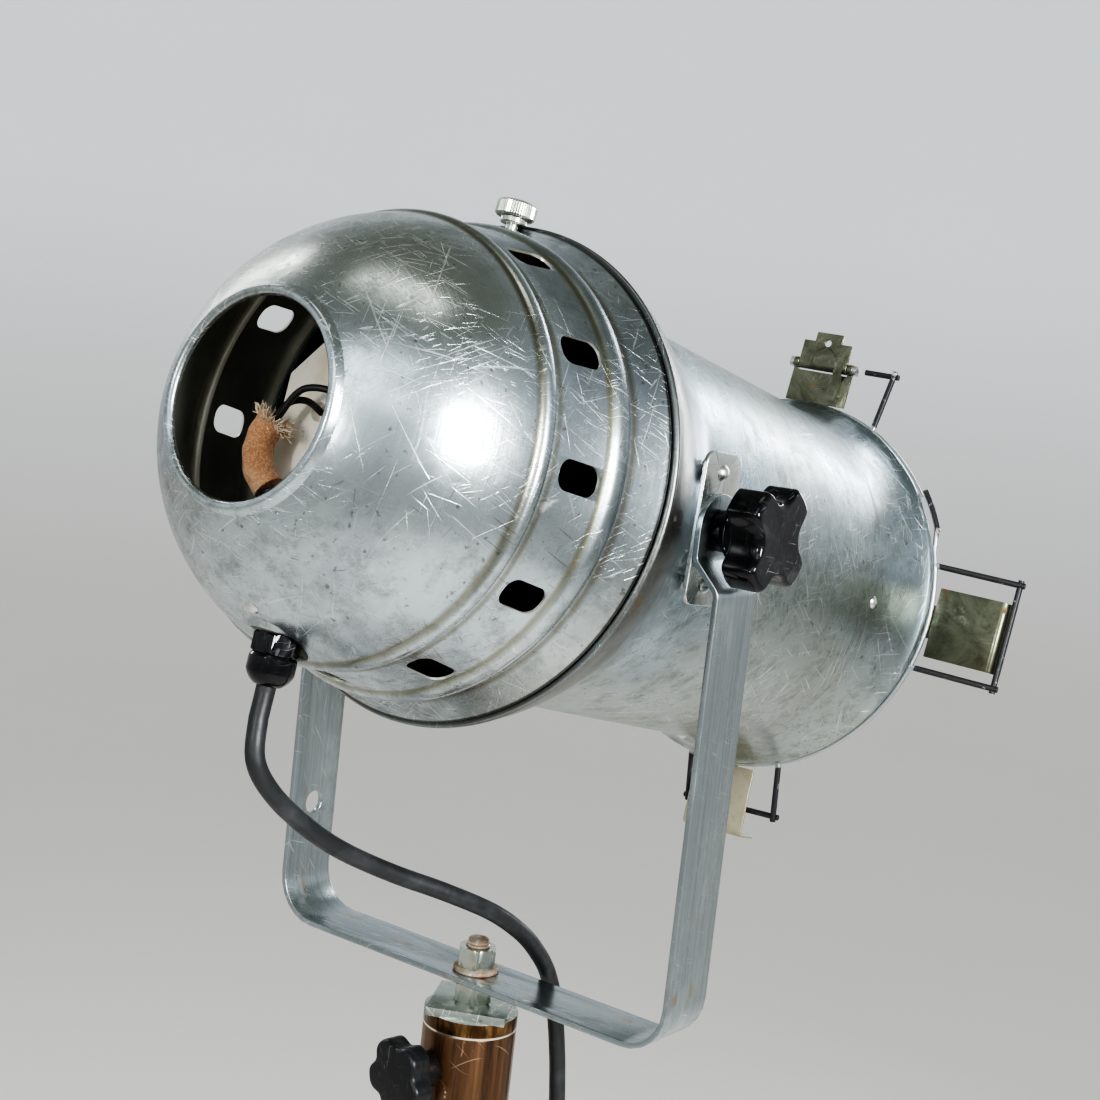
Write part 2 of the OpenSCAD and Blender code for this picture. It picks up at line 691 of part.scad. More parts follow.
latch_half = clip_w / 2;
ear_t = 3.5;
module latch_plate() {
    path = bent([[clip_leg_r, clip_leg_back], [clip_leg_r, clip_plane],
                 [hinge_r - latch_roll_r - 1, clip_plane]], [2.2]);
    color("#6d6a5c") at_lamp() round_lamp(latch_turn) difference() {
        union() {
            difference() {
                translate([0, latch_half, 0]) rotate([90, 0, 0]) linear_extrude(clip_w) bar(path, clip_t);
                clip_sides();
            }
            for (side = [-1, 1]) translate([0, side * (latch_half - ear_t / 2), 0]) {
                translate([hinge_r, ear_t / 2, hinge_fwd]) rotate([90, 0, 0])
                    cylinder(r = latch_roll_r, h = ear_t);
                translate([hinge_r - latch_roll_r - 3, -ear_t / 2, hinge_fwd - clip_t / 2])
                    cube([latch_roll_r + 3, ear_t, clip_t]);
            }
        }
        translate([0, 0, rivet_back]) rotate([0, 90, 0]) cylinder(r = rivet_r + press_gap, h = 2 * can_r);
        translate([hinge_r, 0, hinge_fwd]) rotate([90, 0, 0])
            cylinder(r = latch_pin_r + press_gap, h = 2 * clip_w, center = true);
    }
}

module latch_pin() {
    color("#b9bec4") at_lamp() round_lamp(latch_turn) translate([hinge_r, 0, hinge_fwd]) rotate([90, 0, 0]) {
        cylinder(r = latch_pin_r, h = clip_w + 4, center = true);
        for (side = [-1, 1]) translate([0, 0, side * (latch_half + 1.5)])
            cylinder(r = 3.2, h = 2.6, center = true);
    }
}

roll_half = latch_half - ear_t - 0.4;
module latch_flap() {
    tab_top = clip_reach + 3.5;
    color("#77725f") at_lamp() round_lamp(latch_turn) translate([hinge_r, 0, hinge_fwd]) difference() {
        union() {
            rotate([90, 0, 0]) cylinder(r = latch_roll_r, h = 2 * roll_half, center = true);
            translate([0, -roll_half, -latch_roll_r]) cube([tab_top - hinge_r - 6, 2 * roll_half, clip_t]);
            translate([tab_top - hinge_r - 7, -roll_half * 0.55, -latch_roll_r])
                cube([7, 1.1 * roll_half, clip_t]);
            translate([latch_roll_r - clip_t, -roll_half, 0]) cube([clip_t, 2 * roll_half, clip_depth]);
        }
        rotate([90, 0, 0]) cylinder(r = latch_pin_r + run_gap, h = 2 * clip_w, center = true);
        translate([tab_top - hinge_r - 6.5, 0, -latch_roll_r - 1]) cylinder(r = 2.2, h = 4);
    }
}

module latch_spring() {
    t = 0.7;
    on_plate = clip_plane - clip_t / 2 - seat_gap - t / 2;
    on_tab = clip_plane - latch_roll_r - seat_gap - t / 2;
    color("#4c4a44") at_lamp() round_lamp(latch_turn) translate([0, 15, 0]) rotate([90, 0, 0])
        linear_extrude(6) bar([[120, on_plate], [hinge_r - 8.5, on_plate], [hinge_r - 4, on_tab],
                               [hinge_r + 8, on_tab]], t);
}

// One straight wire from a to b
module wire(a, b, r = guard_wire_d / 2) {
    v = b - a;
    translate(a) rotate([0, acos(v[2] / norm(v)), atan2(v[1], v[0])]) cylinder(r = r, h = norm(v), $fn = 12);
}

// Each loop: its turn round the lamp, where its legs are, the ends of its bar, its reach and how far
// forward the bar lies
guard_reach = clip_reach + clip_t / 2 + guard_wire_d / 2 + loose_gap;
GUARD_LOOPS = [[182.5, [-33, 29], -36, 32, guard_reach, 8.4], [0, [-31, 31], -34, 34, guard_reach, 8.4],
               [269, [-38, 24], -41, 27, 142, 8.4], [latch_turn, [46], 26, 49, 143, 9.4]];
guard_from = 160;
guard_turns = 344;
guard_pitch = guard_wire_d + 0.4;

module wire_guard() {
    color("#1b1b1c") at_lamp() translate([0, 0, guard_plane]) {
        rotate([0, 0, guard_from]) rotate_extrude(angle = guard_turns) translate([hoop_r, 0])
            circle(r = guard_wire_d / 2, $fn = 12);
        // its free end runs outside its other end
        rotate([0, 0, guard_from - 17]) rotate_extrude(angle = 13) translate([hoop_r + guard_pitch, 0])
            circle(r = guard_wire_d / 2, $fn = 12);
        wire(polar(hoop_r, guard_from + 2), polar(hoop_r + guard_pitch, guard_from - 5.5),
             guard_wire_d / 2 - 0.3);
        for (l = GUARD_LOOPS) rotate([0, 0, l[0]]) {
            for (y = l[1])
                wire([sqrt(hoop_r * hoop_r - y * y), y, 0], [l[4] + 3, y, l[5] - 0.2]);
            wire([l[4], l[2], l[5]], [l[4], l[3], l[5]]);
        }
    }
}

// ---------------------------------------------------------------- rear cap

cap_profile = concat(
    arc(rear_hole_r + 2.5, -dome_back - sqrt(pow(dome_r, 2) - pow(rear_hole_r + 2.5, 2)), 2.6, 150, 330, 12),
    arc(0, -dome_back, dome_r, -acos((rear_hole_r + 6) / dome_r), -17.5, 24),
    arc(cap_bead_r - 5.3, -cap_bead_back, 5.3, -52, 50, 10),
    [[cap_bead_r - 0.8, -cap_bead_back + 7], [skirt_bead_r - 3.9, -skirt_bead_back - 8]],
    arc(skirt_bead_r - 9.1, -skirt_bead_back, 9.1, -44, 44, 10),
    [[skirt_bead_r - 1.9, -skirt_bead_back + 9], [flange_r - 2.5, skirt_end]]);

module vent_slots() {
    corner = slot_width * 0.42;
    for (i = [0:slot_count - 1]) round_lamp(180 + 360 / slot_count * i, -slot_back)
        translate([dome_r - 25, 0, 0]) rotate([0, 90, 0]) linear_extrude(50) {
            square([slot_length, slot_width - 2 * corner], center = true);
            square([slot_length - 2 * corner, slot_width], center = true);
            for (x = [-1, 1], y = [-1, 1])
                translate([x * (slot_length / 2 - corner), y * (slot_width / 2 - corner)])
                    circle(r = corner);
        }
}

// The flat seat pressed in the dome for the gland: sunk at its front edge and raised at its rear
module gland_seat() {
    deep = gland_face - 17;
    at = gland_face - sheet_t;
    rotate([90, 0, 0]) {
        translate([0, 0, at]) cylinder(r = seat_r, h = sheet_t);
        intersection() {
            translate([0, 0, at + sheet_t / 2]) tube(seat_r, seat_r - sheet_t, 6);
            translate([0, gland_back - dome_back, 0]) sphere(r = dome_r - 0.3);
        }
        difference() {
            translate([0, 0, deep]) tube(seat_r, seat_r - sheet_t, at + sheet_t / 2 - deep);
            translate([0, gland_back - dome_back, 0]) sphere(r = dome_r - sheet_t - 0.4);
        }
    }
}

module rear_cap() {
    color("#b9bec4") at_lamp() difference() {
        union() {
            difference() {
                rotate_extrude() sheet(cap_profile, sheet_t);
                translate([0, 0, -gland_back]) rotate([90, 0, 0]) cylinder(r = seat_r - 0.5, h = 2 * dome_r);
            }
            translate([0, 0, -gland_back]) gland_seat();
        }
        vent_slots();
        translate([0, 0, -gland_back]) rotate([90, 0, 0])
            cylinder(r = gland_thread_r + press_gap, h = 2 * dome_r);
        translate([0, 0, -dome_back]) rotate([90 + cap_rivet_turn, 0, 0])
            cylinder(r = rivet_r + press_gap, h = 2 * dome_r);
        round_lamp(thumb_turn, -thumb_back) rotate([0, 90, 0]) cylinder(r = 3 + run_gap, h = 2 * dome_r);
    }
}

module cap_rivet() {
    head_r = 3.6;
    sag = head_r * head_r / dome_r; // more than the dome falls away under the rivet's tail
    color("#c9ccc8") at_cap_rivet() translate([0, 0, dome_r + press_gap])
        rivet(rivet_r, head_r, 1.6, sheet_t + 2 * press_gap + sag);
}

module at_cap_rivet() {
    at_lamp() translate([0, 0, -dome_back]) rotate([90 + cap_rivet_turn, 0, 0]) children();
}

// Outwards from the lamp's axis at the gland
module at_gland() { at_lamp() translate([0, 0, -gland_back]) rotate([90, 0, 0]) children(); }
gland_hex_at = gland_face + press_gap + 1;
gland_end = gland_hex_at + gland_hex_h + gland_dome_h;

module gland_body() {
    color("#141416") at_gland() difference() {
        union() {
            translate([0, 0, gland_face + press_gap]) cylinder(r = 12, h = 1);
            translate([0, 0, gland_hex_at]) hexagon(gland_af, gland_hex_h - gland_grip);
            translate([0, 0, gland_face - 12]) cylinder(r = gland_thread_r, h = 13 + gland_hex_h);
        }
        translate([0, 0, gland_face - 20]) cylinder(r = lead_d / 2 + 0.3, h = 60);
    }
}

module gland_nut() {
    r = 10.2;
    crown = r + 2;
    flat = 6;
    h = gland_dome_h + gland_grip - press_gap;
    color("#0e0e10") at_gland() translate([0, 0, gland_end - h]) difference() {
        intersection() {
            translate([0, 0, h - sqrt(crown * crown - flat * flat)]) sphere(r = crown);
            cylinder(r = r, h = h);
        }
        translate([0, 0, -1]) cylinder(r = gland_thread_r + press_gap, h = 4.2);
        translate([0, 0, -1]) cylinder(r = lead_d / 2 + 0.3, h = h - 1);
    }
}

module gland_locknut() {
    color("#a9adb0") at_gland() translate([0, 0, gland_face - sheet_t - 4 - press_gap]) difference() {
        hexagon(20, 4);
        translate([0, 0, -1]) cylinder(r = gland_thread_r + press_gap, h = 6);
    }
}

module thumb_nut() {
    color("#a9adb0") at_lamp() round_lamp(thumb_turn, -thumb_back)
        translate([ring_r + loose_gap, 0, 0]) rotate([0, 90, 0]) tube(6, 3 + run_gap, 2.6);
}

module lampholder() {
    w = 35;
    h = 38;
    cut = 16;
    color("#efe6cf") at_lamp() difference() {
        union() {
            translate([0, 0, holder_back]) linear_extrude(holder_step - holder_back)
                polygon([[-w, -h + cut], [-w + cut, -h], [w - cut, -h], [w, -h + cut],
                         [w, h - cut], [w - cut, h], [-w + cut, h], [-w, h - cut]]);
            translate([-26, -17, holder_step - 1]) cube([52, 34, holder_front - holder_step + 1]);
        }
        for (x = [-8, 8]) translate([x - 2, -6.5, -114]) cube([4, 13, 30]);
        for (x = [-12, 12]) translate([x, 6, holder_back - 1]) cylinder(r = 4.5, h = 7);
    }
}

// A tube of n sides swept along the points p
function sweep_ring(p, i, r, n, u) = let (
    t = unit(p[min(i + 1, len(p) - 1)] - p[max(i - 1, 0)]),
    a = unit(u - (u * t) * t), b = cross(t, a))
    [for (k = [0:n - 1]) p[i] + r * (cos(360 * k / n) * a + sin(360 * k / n) * b)];
module sweep(p, r, n = 8, u = [1, 0.3, 0.2], from = 0, to = -1) {
    end = to < 0 ? len(p) - 1 : to;
    m = end - from + 1;
    points = [for (i = [from:end]) each sweep_ring(p, i, r, n, u)];
    sides = [for (i = [0:m - 2], k = [0:n - 1]) each [
        [i * n + k, i * n + (k + 1) % n, (i + 1) * n + k],
        [i * n + (k + 1) % n, (i + 1) * n + (k + 1) % n, (i + 1) * n + k]]];
    first = [for (k = [1:n - 2]) [0, k + 1, k]];
    last = [for (k = [1:n - 2]) [(m - 1) * n, (m - 1) * n + k, (m - 1) * n + k + 1]];
    polyhedron(points = points, faces = [for (f = concat(sides, first, last)) reversed(f)]);
}

// A smooth line through the points p, n steps between each pair
function mix(a, b, c, d, t) = 0.5 * (2 * b + (c - a) * t + (2 * a - 5 * b + 4 * c - d) * t * t
    + (3 * b - a - 3 * c + d) * t * t * t);
function smooth(p, n) = [for (i = [0:len(p) - 2], k = [0:n - 1])
    mix(p[max(i - 1, 0)], p[i], p[i + 1], p[min(i + 2, len(p) - 1)], k / n), p[len(p) - 1]];

// Inside the cap, in the lamp's frame
INNER_LEAD = [[0, -90, -153], [0, -78, -153], [4, -60, -156], [11, -44, -161], [16.4, -34.1, -163.7]];
SLEEVE = [[17, -33, -164], [24, -24, -166], [28, -12, -167], [27, 0, -167], [23, 9, -166]];
CORES = [[[23, 10.5, -166], [18, 13, -163], [13, 9, -158], [12, 6, -148]],
         [[24.5, 11.5, -165], [10, 17, -164], [-6, 14, -159], [-12, 6, -148]]];

module heat_sleeve() { color("#c4763c") at_lamp() sweep(smooth(SLEEVE, 3), 7, 10); }
module inner_lead() {
    color("#1a1a1a") at_lamp() {
        sweep(smooth(INNER_LEAD, 3), lead_d / 2, 10);
        for (p = CORES) sweep(smooth(p, 3), 1.6, 6);
    }
}

module thumbscrew() {
    collar_at = flange_r - 2.5 + loose_gap;
    color("#b7a98a") at_lamp() round_lamp(thumb_turn, -thumb_back) rotate([0, 90, 0]) {
        translate([0, 0, ring_r + loose_gap]) cylinder(r = 3, h = collar_at - ring_r);
        translate([0, 0, collar_at]) cylinder(r = 6, h = 4);
        translate([0, 0, collar_at + 3]) cylinder(r = thumb_d / 2, h = 8);
    }
}

// ---------------------------------------------------------------- mains lead

// The lead's route, from the stand's axis and the floor: gland, head, yoke, column, base
gland_dir = [0, sin(tilt_down), -cos(tilt_down)];
gland_out = [0, gland_back * cos(tilt_down), tilt_height + gland_back * sin(tilt_down)]
    + (gland_end + seat_gap) * gland_dir;
lead_steps = 2;
LEAD_GLAND = [gland_out + 12 * gland_dir, [-3, 180, 1384]];
LEAD_UPPER = [[-5, 170, 1368], [-6, 148, 1350], [-7, 122, 1334], [-15, 93, 1320], [-26, 66, 1309],
              [-35, 38, 1296], [-37, 14, 1281]];
LEAD_DROP = [[-35, -5, 1266], [-31, -22, 1250], [-29, -34, 1230], [-29, -42, 1202], [-30, -46, 1173],
             [-33, -48, 1130]];
LEAD_LOWER = [[-40, -50, 1050], [-52, -50, 950], [-68, -50, 840], [-86, -48, 720], [-102, -45, 600],
              [-116, -41, 480], [-129, -36, 360], [-141, -30, 250], [-150, -24, 160], [-156, -20, 100],
              [-158, -19, 62], [-157, -24, 38], [-153, -35, 21]];

// The coil: a spiral in on the floor, a half turn up, and a spiral out on top
tie_t = 1;
coil_step = lead_d + 1.2;
coil_centre = [-190, -95, 0];
coil_start = 200;
coil_total = 2 * coil_loops * 360 + 180;
coil_steps = 24 * coil_total / 360;
coil_lift = lead_d / 2 + tie_t + loose_gap + seat_gap;
function coil_radius(a) = coil_r - coil_step * min(a, coil_total - a) / 360;
function coil_height(a) = coil_lift + coil_step * min(max((a - coil_loops * 360) / 180, 0), 1);
function coil_point(a) = coil_centre + [coil_radius(a) * cos(coil_start + a),
    coil_radius(a) * sin(coil_start + a), coil_height(a)];
coil_line = [for (i = [0:coil_steps]) coil_point(coil_total * i / coil_steps)];
coil_end_dir = unit(coil_line[len(coil_line) - 1] - coil_line[len(coil_line) - 2]);
coil_first_dir = unit(coil_line[0] - coil_line[1]);
coil_in = coil_line[len(coil_line) - 1] + lead_d * 1.2 * coil_end_dir;
coil_out = coil_line[0] + lead_d * 5 * coil_first_dir;
coil_tube = concat([coil_out, coil_line[0] + lead_d * 2.5 * coil_first_dir], coil_line, [coil_in]);
coil_gap = min([for (i = [0:len(coil_line) - 1], k = [i + 12:1:len(coil_line) - 1])
    norm(coil_line[i] - coil_line[k])]) - lead_d;
echo(coil_gap = coil_gap);

lead_line = concat([gland_out], smooth(concat(LEAD_GLAND, LEAD_UPPER, LEAD_DROP, LEAD_LOWER,
    [coil_in + 18 * coil_end_dir]), lead_steps), [coil_in]);
head_at = 1 + lead_steps;
yoke_at = head_at + lead_steps * len(LEAD_UPPER);
column_at = yoke_at + lead_steps * len(LEAD_DROP);
function run(p, from, to) = from >= to ? 0 : norm(p[from + 1] - p[from]) + run(p, from + 1, to);
echo(lead_length = run(lead_line, 0, len(lead_line) - 1));
echo(coil_length = run(coil_tube, 0, len(coil_tube) - 1));

module lead(from, to) { color("#232527") at_stand() sweep(lead_line, lead_d / 2, 8, from = from, to = to); }
module lead_gland() { lead(0, head_at); }
module lead_upper() { lead(head_at, yoke_at); }
module lead_drop() { lead(yoke_at, column_at); }
module lead_lower() { lead(column_at, len(lead_line) - 1); }
module lead_coil() { color("#232527") at_stand() sweep(coil_tube, lead_d / 2, 6, [0.1, 0.1, 1]); }

tie_turn = 110;
module coil_tie() {
    inner = coil_r - coil_step * (coil_loops + 0.25) - lead_d / 2 - 1;
    outer = coil_r + lead_d / 2 + 1;
    top = coil_lift + coil_step + lead_d / 2 + loose_gap;
    color("#101010") at_stand() translate(coil_centre) rotate([0, 0, tie_turn])
        translate([0, 6, 0]) rotate([90, 0, 0]) linear_extrude(12) difference() {
            translate([inner - tie_t, 0]) square([outer - inner + 2 * tie_t, top + tie_t]);
            translate([inner, tie_t]) square([outer - inner, top - tie_t]);
        }
}

// The plug lies on its back, pins up, its lead leaving along -x of its own frame
module at_plug() {
    at_stand() translate([coil_out[0], coil_out[1], 0])
        rotate([0, 0, atan2(coil_first_dir[1], coil_first_dir[0])]) children();
}
plug_h = 20;
module plug_body() {
    color("#16171a") at_plug() difference() {
        union() {
            translate([16, -24, 0]) cube([48, 48, plug_h]);
            translate([seat_gap, 0, coil_out[2]]) rotate([0, 90, 0]) cylinder(r1 = 5.2, r2 = 8, h = 17);
        }
        translate([-50, -50, -plug_h]) cube([100, 100, plug_h]);
    }
}
module plug_pins() {
    color("#c9a552") at_plug() {
        translate([52, -2, plug_h + press_gap]) cube([4, 4, 22.7]);
        for (y = [-11.1, 11.1]) translate([29, y - 3.2, plug_h + press_gap]) cube([4, 6.4, 17.7]);
    }
}

hub_casting();
lower_tube();
tube_end_cap();
clamp_collar();
hub_screws();
pivot_bolts();
leg_front();
leg_left();
leg_right();
knuckle_front();
knuckle_left();
knuckle_right();
foot_front();
foot_left();
foot_right();
height_knob();
column_tube();
column_knob();
top_plate();
pan_stud();
pan_nuts();
pan_washers();
yoke_strap();
tilt_knob_near();
tilt_knob_far();
can_body();
par_lamp();
lamp_ring();
lamp_spring();
tilt_brackets();
bracket_spacers();
bracket_screws();
tilt_studs();
clip_near();
clip_far();
clip_bottom();
clip_rivets();
latch_plate();
latch_pin();
latch_flap();
latch_spring();
wire_guard();
rear_cap();
gland_body();
gland_nut();
gland_locknut();
cap_rivet();
thumb_nut();
lampholder();
heat_sleeve();
inner_lead();
thumbscrew();
lead_gland();
lead_upper();
lead_drop();
lead_lower();
lead_coil();
coil_tie();
plug_body();
plug_pins();
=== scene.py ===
"""Looks of the tripod spotlight floor lamp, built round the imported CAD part."""

import math
import random

import bmesh
import bpy
import numpy as np
from mathutils import Matrix, Vector


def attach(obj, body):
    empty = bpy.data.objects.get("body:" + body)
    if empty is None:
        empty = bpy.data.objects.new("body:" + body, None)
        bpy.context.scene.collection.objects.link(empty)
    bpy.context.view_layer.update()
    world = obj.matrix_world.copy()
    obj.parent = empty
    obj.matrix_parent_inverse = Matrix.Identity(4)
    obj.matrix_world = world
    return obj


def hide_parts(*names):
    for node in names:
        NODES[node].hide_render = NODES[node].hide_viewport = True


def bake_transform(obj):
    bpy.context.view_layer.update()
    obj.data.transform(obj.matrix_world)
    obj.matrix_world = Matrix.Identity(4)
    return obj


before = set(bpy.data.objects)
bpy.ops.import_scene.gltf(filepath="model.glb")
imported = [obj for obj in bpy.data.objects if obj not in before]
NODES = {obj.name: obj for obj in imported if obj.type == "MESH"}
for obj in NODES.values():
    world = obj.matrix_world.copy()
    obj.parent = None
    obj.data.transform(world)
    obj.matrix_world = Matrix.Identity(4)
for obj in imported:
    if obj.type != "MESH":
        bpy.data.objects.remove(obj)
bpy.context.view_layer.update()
MM = 0.001


def turned(degrees, axis):
    return Matrix.Rotation(math.radians(degrees), 4, axis)


def shifted(x, y, z):
    """A move in mm."""
    return Matrix.Translation((x * MM, y * MM, z * MM))


# ---------------------------------------------------------------- frames and sizes, in mm as in the CAD
STAND_Y = 105
TILT_Z = 1500
# the lamp points this many degrees below the horizontal
LEAN = 12
# the stand's frame has its origin on the floor under the column; the lamp's has z forward along the can
STAND = shifted(0, STAND_Y, 0)
LAMP = shifted(0, STAND_Y, TILT_Z) @ turned(90 + LEAN, "X")
LEAD_D = 9.0
SHEET = 1.1

# the camera, solved from the photograph: place in metres, turns in degrees, lens in mm
CAMERA_AT = (-0.5589, 0.8400, 1.5789)
CAMERA_YAW, CAMERA_PITCH, CAMERA_ROLL = 36.34, 6.49, 6.33
LENS, SENSOR = 58.96, 36


# ---------------------------------------------------------------- camera first
def set_camera():
    yaw, pitch, roll = (math.radians(a) for a in (CAMERA_YAW, CAMERA_PITCH, CAMERA_ROLL))
    forward = Vector((math.sin(yaw) * math.cos(pitch), -math.cos(yaw) * math.cos(pitch), -math.sin(pitch)))
    level_right = Vector((-math.cos(yaw), -math.sin(yaw), 0))
    level_up = level_right.cross(forward)
    right = math.cos(roll) * level_right + math.sin(roll) * level_up
    up = -math.sin(roll) * level_right + math.cos(roll) * level_up
    data = bpy.data.cameras.new("camera")
    data.sensor_width = SENSOR
    data.lens = LENS
    cam = bpy.data.objects.new("camera", data)
    bpy.context.scene.collection.objects.link(cam)
    place = Matrix((right, up, -forward)).transposed().to_4x4()
    place.translation = Vector(CAMERA_AT)
    cam.matrix_world = place
    bpy.context.scene.camera = cam


set_camera()


# ---------------------------------------------------------------- materials
class Paint:
    """A material built from nodes; textures read the piece's own coordinates, in metres."""

    def __init__(self, name, color, metallic=0.0, roughness=0.5, **sockets):
        self.mat = bpy.data.materials.new(name)
        self.mat.use_nodes = True
        self.tree = self.mat.node_tree
        self.bsdf = self.tree.nodes["Principled BSDF"]
        self.coords = self.tree.nodes.new("ShaderNodeTexCoord").outputs["Object"]
        self.bsdf.inputs["Metallic"].default_value = metallic
        for key, value in sockets.items():
            self.bsdf.inputs[key.replace("_", " ")].default_value = value
        self.color = color
        self.rough = roughness
        self.heights = []

    def node(self, kind, **values):
        n = self.tree.nodes.new(kind)
        for key, value in values.items():
            setattr(n, key, value)
        return n

    def link(self, value, socket):
        """Gives a socket a value: another socket, a colour or a number."""
        if isinstance(value, bpy.types.NodeSocket):
            self.tree.links.new(value, socket)
        elif isinstance(value, (tuple, list)):
            socket.default_value = (*value, 1)[:len(socket.default_value)]
        else:
            socket.default_value = value

    def place(self, scale=(1, 1, 1), turn=(0, 0, 0), shift=(0, 0, 0)):
        """The piece's coordinates, turned first and then stretched and shifted."""
        source = self.coords
        if any(turn):
            n = self.node("ShaderNodeMapping")
            self.link(source, n.inputs["Vector"])
            n.inputs["Rotation"].default_value = [math.radians(a) for a in turn]
            source = n.outputs["Vector"]
        n = self.node("ShaderNodeMapping")
        self.link(source, n.inputs["Vector"])
        n.inputs["Scale"].default_value = scale
        n.inputs["Location"].default_value = shift
        return n.outputs["Vector"]

    def noise(self, scale, turn=(0, 0, 0), shift=(0, 0, 0), detail=3.0, rough=0.55, bend=0.0):
        """Noise with scale repeats a metre, one number or one for each axis."""
        n = self.node("ShaderNodeTexNoise")
        scale = scale if isinstance(scale, tuple) else (scale,) * 3
        self.link(self.place(scale, turn, shift), n.inputs["Vector"])
        n.inputs["Scale"].default_value = 1.0
        n.inputs["Detail"].default_value = detail
        n.inputs["Roughness"].default_value = rough
        n.inputs["Distortion"].default_value = bend
        return n.outputs["Fac"]

    def cells(self, scale):
        """Distance to the nearest of scattered points, with scale cells a metre."""
        n = self.node("ShaderNodeTexVoronoi")
        self.link(self.place((scale,) * 3), n.inputs["Vector"])
        n.inputs["Scale"].default_value = 1.0
        return n.outputs["Distance"]

    def axis(self, which):
        n = self.node("ShaderNodeSeparateXYZ")
        self.link(self.coords, n.inputs["Vector"])
        return n.outputs[which]

    def distance(self, point):
        """Distance from a point in metres."""
        n = self.node("ShaderNodeVectorMath", operation="LENGTH")
        self.link(self.place(shift=[-c for c in point]), n.inputs[0])
        return n.outputs["Value"]

    def math(self, operation, a, b=0.0):
        n = self.node("ShaderNodeMath", operation=operation)
        self.link(a, n.inputs[0])
        self.link(b, n.inputs[1])
        return n.outputs["Value"]

    def times(self, a, b):
        return self.math("MULTIPLY", a, b)

    def band(self, value, middle, inner, outer, share=1.0):
        """A mask round one value: share up to inner away from it, and none from outer on."""
        away = self.math("ABSOLUTE", self.math("ADD", value, -middle))
        return self.ramp(away, inner, outer, share, 0)

    def ramp(self, value, low, high, to_low=0.0, to_high=1.0):
        n = self.node("ShaderNodeMapRange")
        self.link(value, n.inputs["Value"])
        for key, v in (("From Min", low), ("From Max", high), ("To Min", to_low), ("To Max", to_high)):
            n.inputs[key].default_value = v
        return n.outputs["Result"]

    def mix(self, mask, a, b):
        """Colour a, and b where the mask is."""
        n = self.node("ShaderNodeMix", data_type="RGBA")
        # the colour sockets of this node come after those for numbers and vectors
        self.link(mask, n.inputs[0])
        self.link(a, n.inputs[6])
        self.link(b, n.inputs[7])
        return n.outputs[2]

    def tint(self, mask, color, share=1.0):
        """Lays a share of a colour over what is there, where the mask is."""
        if share != 1.0:
            mask = self.times(mask, share)
        self.color = self.mix(mask, self.color, color)

    def blotch(self, color, scale, low, high, share=1.0, **noise):
        """Lays a colour over what is there in blotches, where noise lies above low."""
        self.tint(self.ramp(self.noise(scale, **noise), low, high, 0, share), color)

    def rub(self, mask, roughness):
        """Changes the roughness where the mask is."""
        below = self.times(self.math("SUBTRACT", 1.0, mask), self.rough)
        self.rough = self.math("ADD", below, self.times(mask, roughness))

    def raise_by(self, height, metres):
        """Bumps the surface up to this far."""
        self.heights.append((height, metres))

    def grain(self, scale, metres, **noise):
        """Bumps the surface up to this far by noise."""
        self.raise_by(self.noise(scale, **noise), metres)

    def scratches(self, count, seed, long, thin, least, bend=0.0, gate=(0.42, 0.62)):
        """Fine scratches in several directions, as a mask.

        long and thin are their grain along and across, least their level in the noise; bend curves them, and
        gate keeps them to patches."""
        rnd = random.Random(seed)
        total = None
        for _ in range(count):
            turn = [rnd.uniform(0, 180) for _ in range(3)]
            shift = [rnd.uniform(0, 50) for _ in range(3)]
            fine = thin * rnd.uniform(0.6, 1.4)
            line = self.noise((long, fine, long), turn, shift, 1.0, bend=bend)
            line = self.ramp(line, least, least + 0.03)
            total = line if total is None else self.math("MAXIMUM", total, line)
        low, high = gate
        patch = self.ramp(self.noise(11, shift=(seed, 2, 3), detail=2), low, high)
        return self.times(total, patch)

    def done(self):
        """Joins everything to the shader and gives the material."""
        self.link(self.color, self.bsdf.inputs["Base Color"])
        self.link(self.rough, self.bsdf.inputs["Roughness"])
        normal = None
        for height, metres in self.heights:
            n = self.node("ShaderNodeBump")
            n.inputs["Strength"].default_value = 1.0
            n.inputs["Distance"].default_value = metres
            self.link(height, n.inputs["Height"])
            if normal is not None:
                self.link(normal, n.inputs["Normal"])
            normal = n.outputs["Normal"]
        if normal is not None:
            self.link(normal, self.bsdf.inputs["Normal"])
        return self.mat


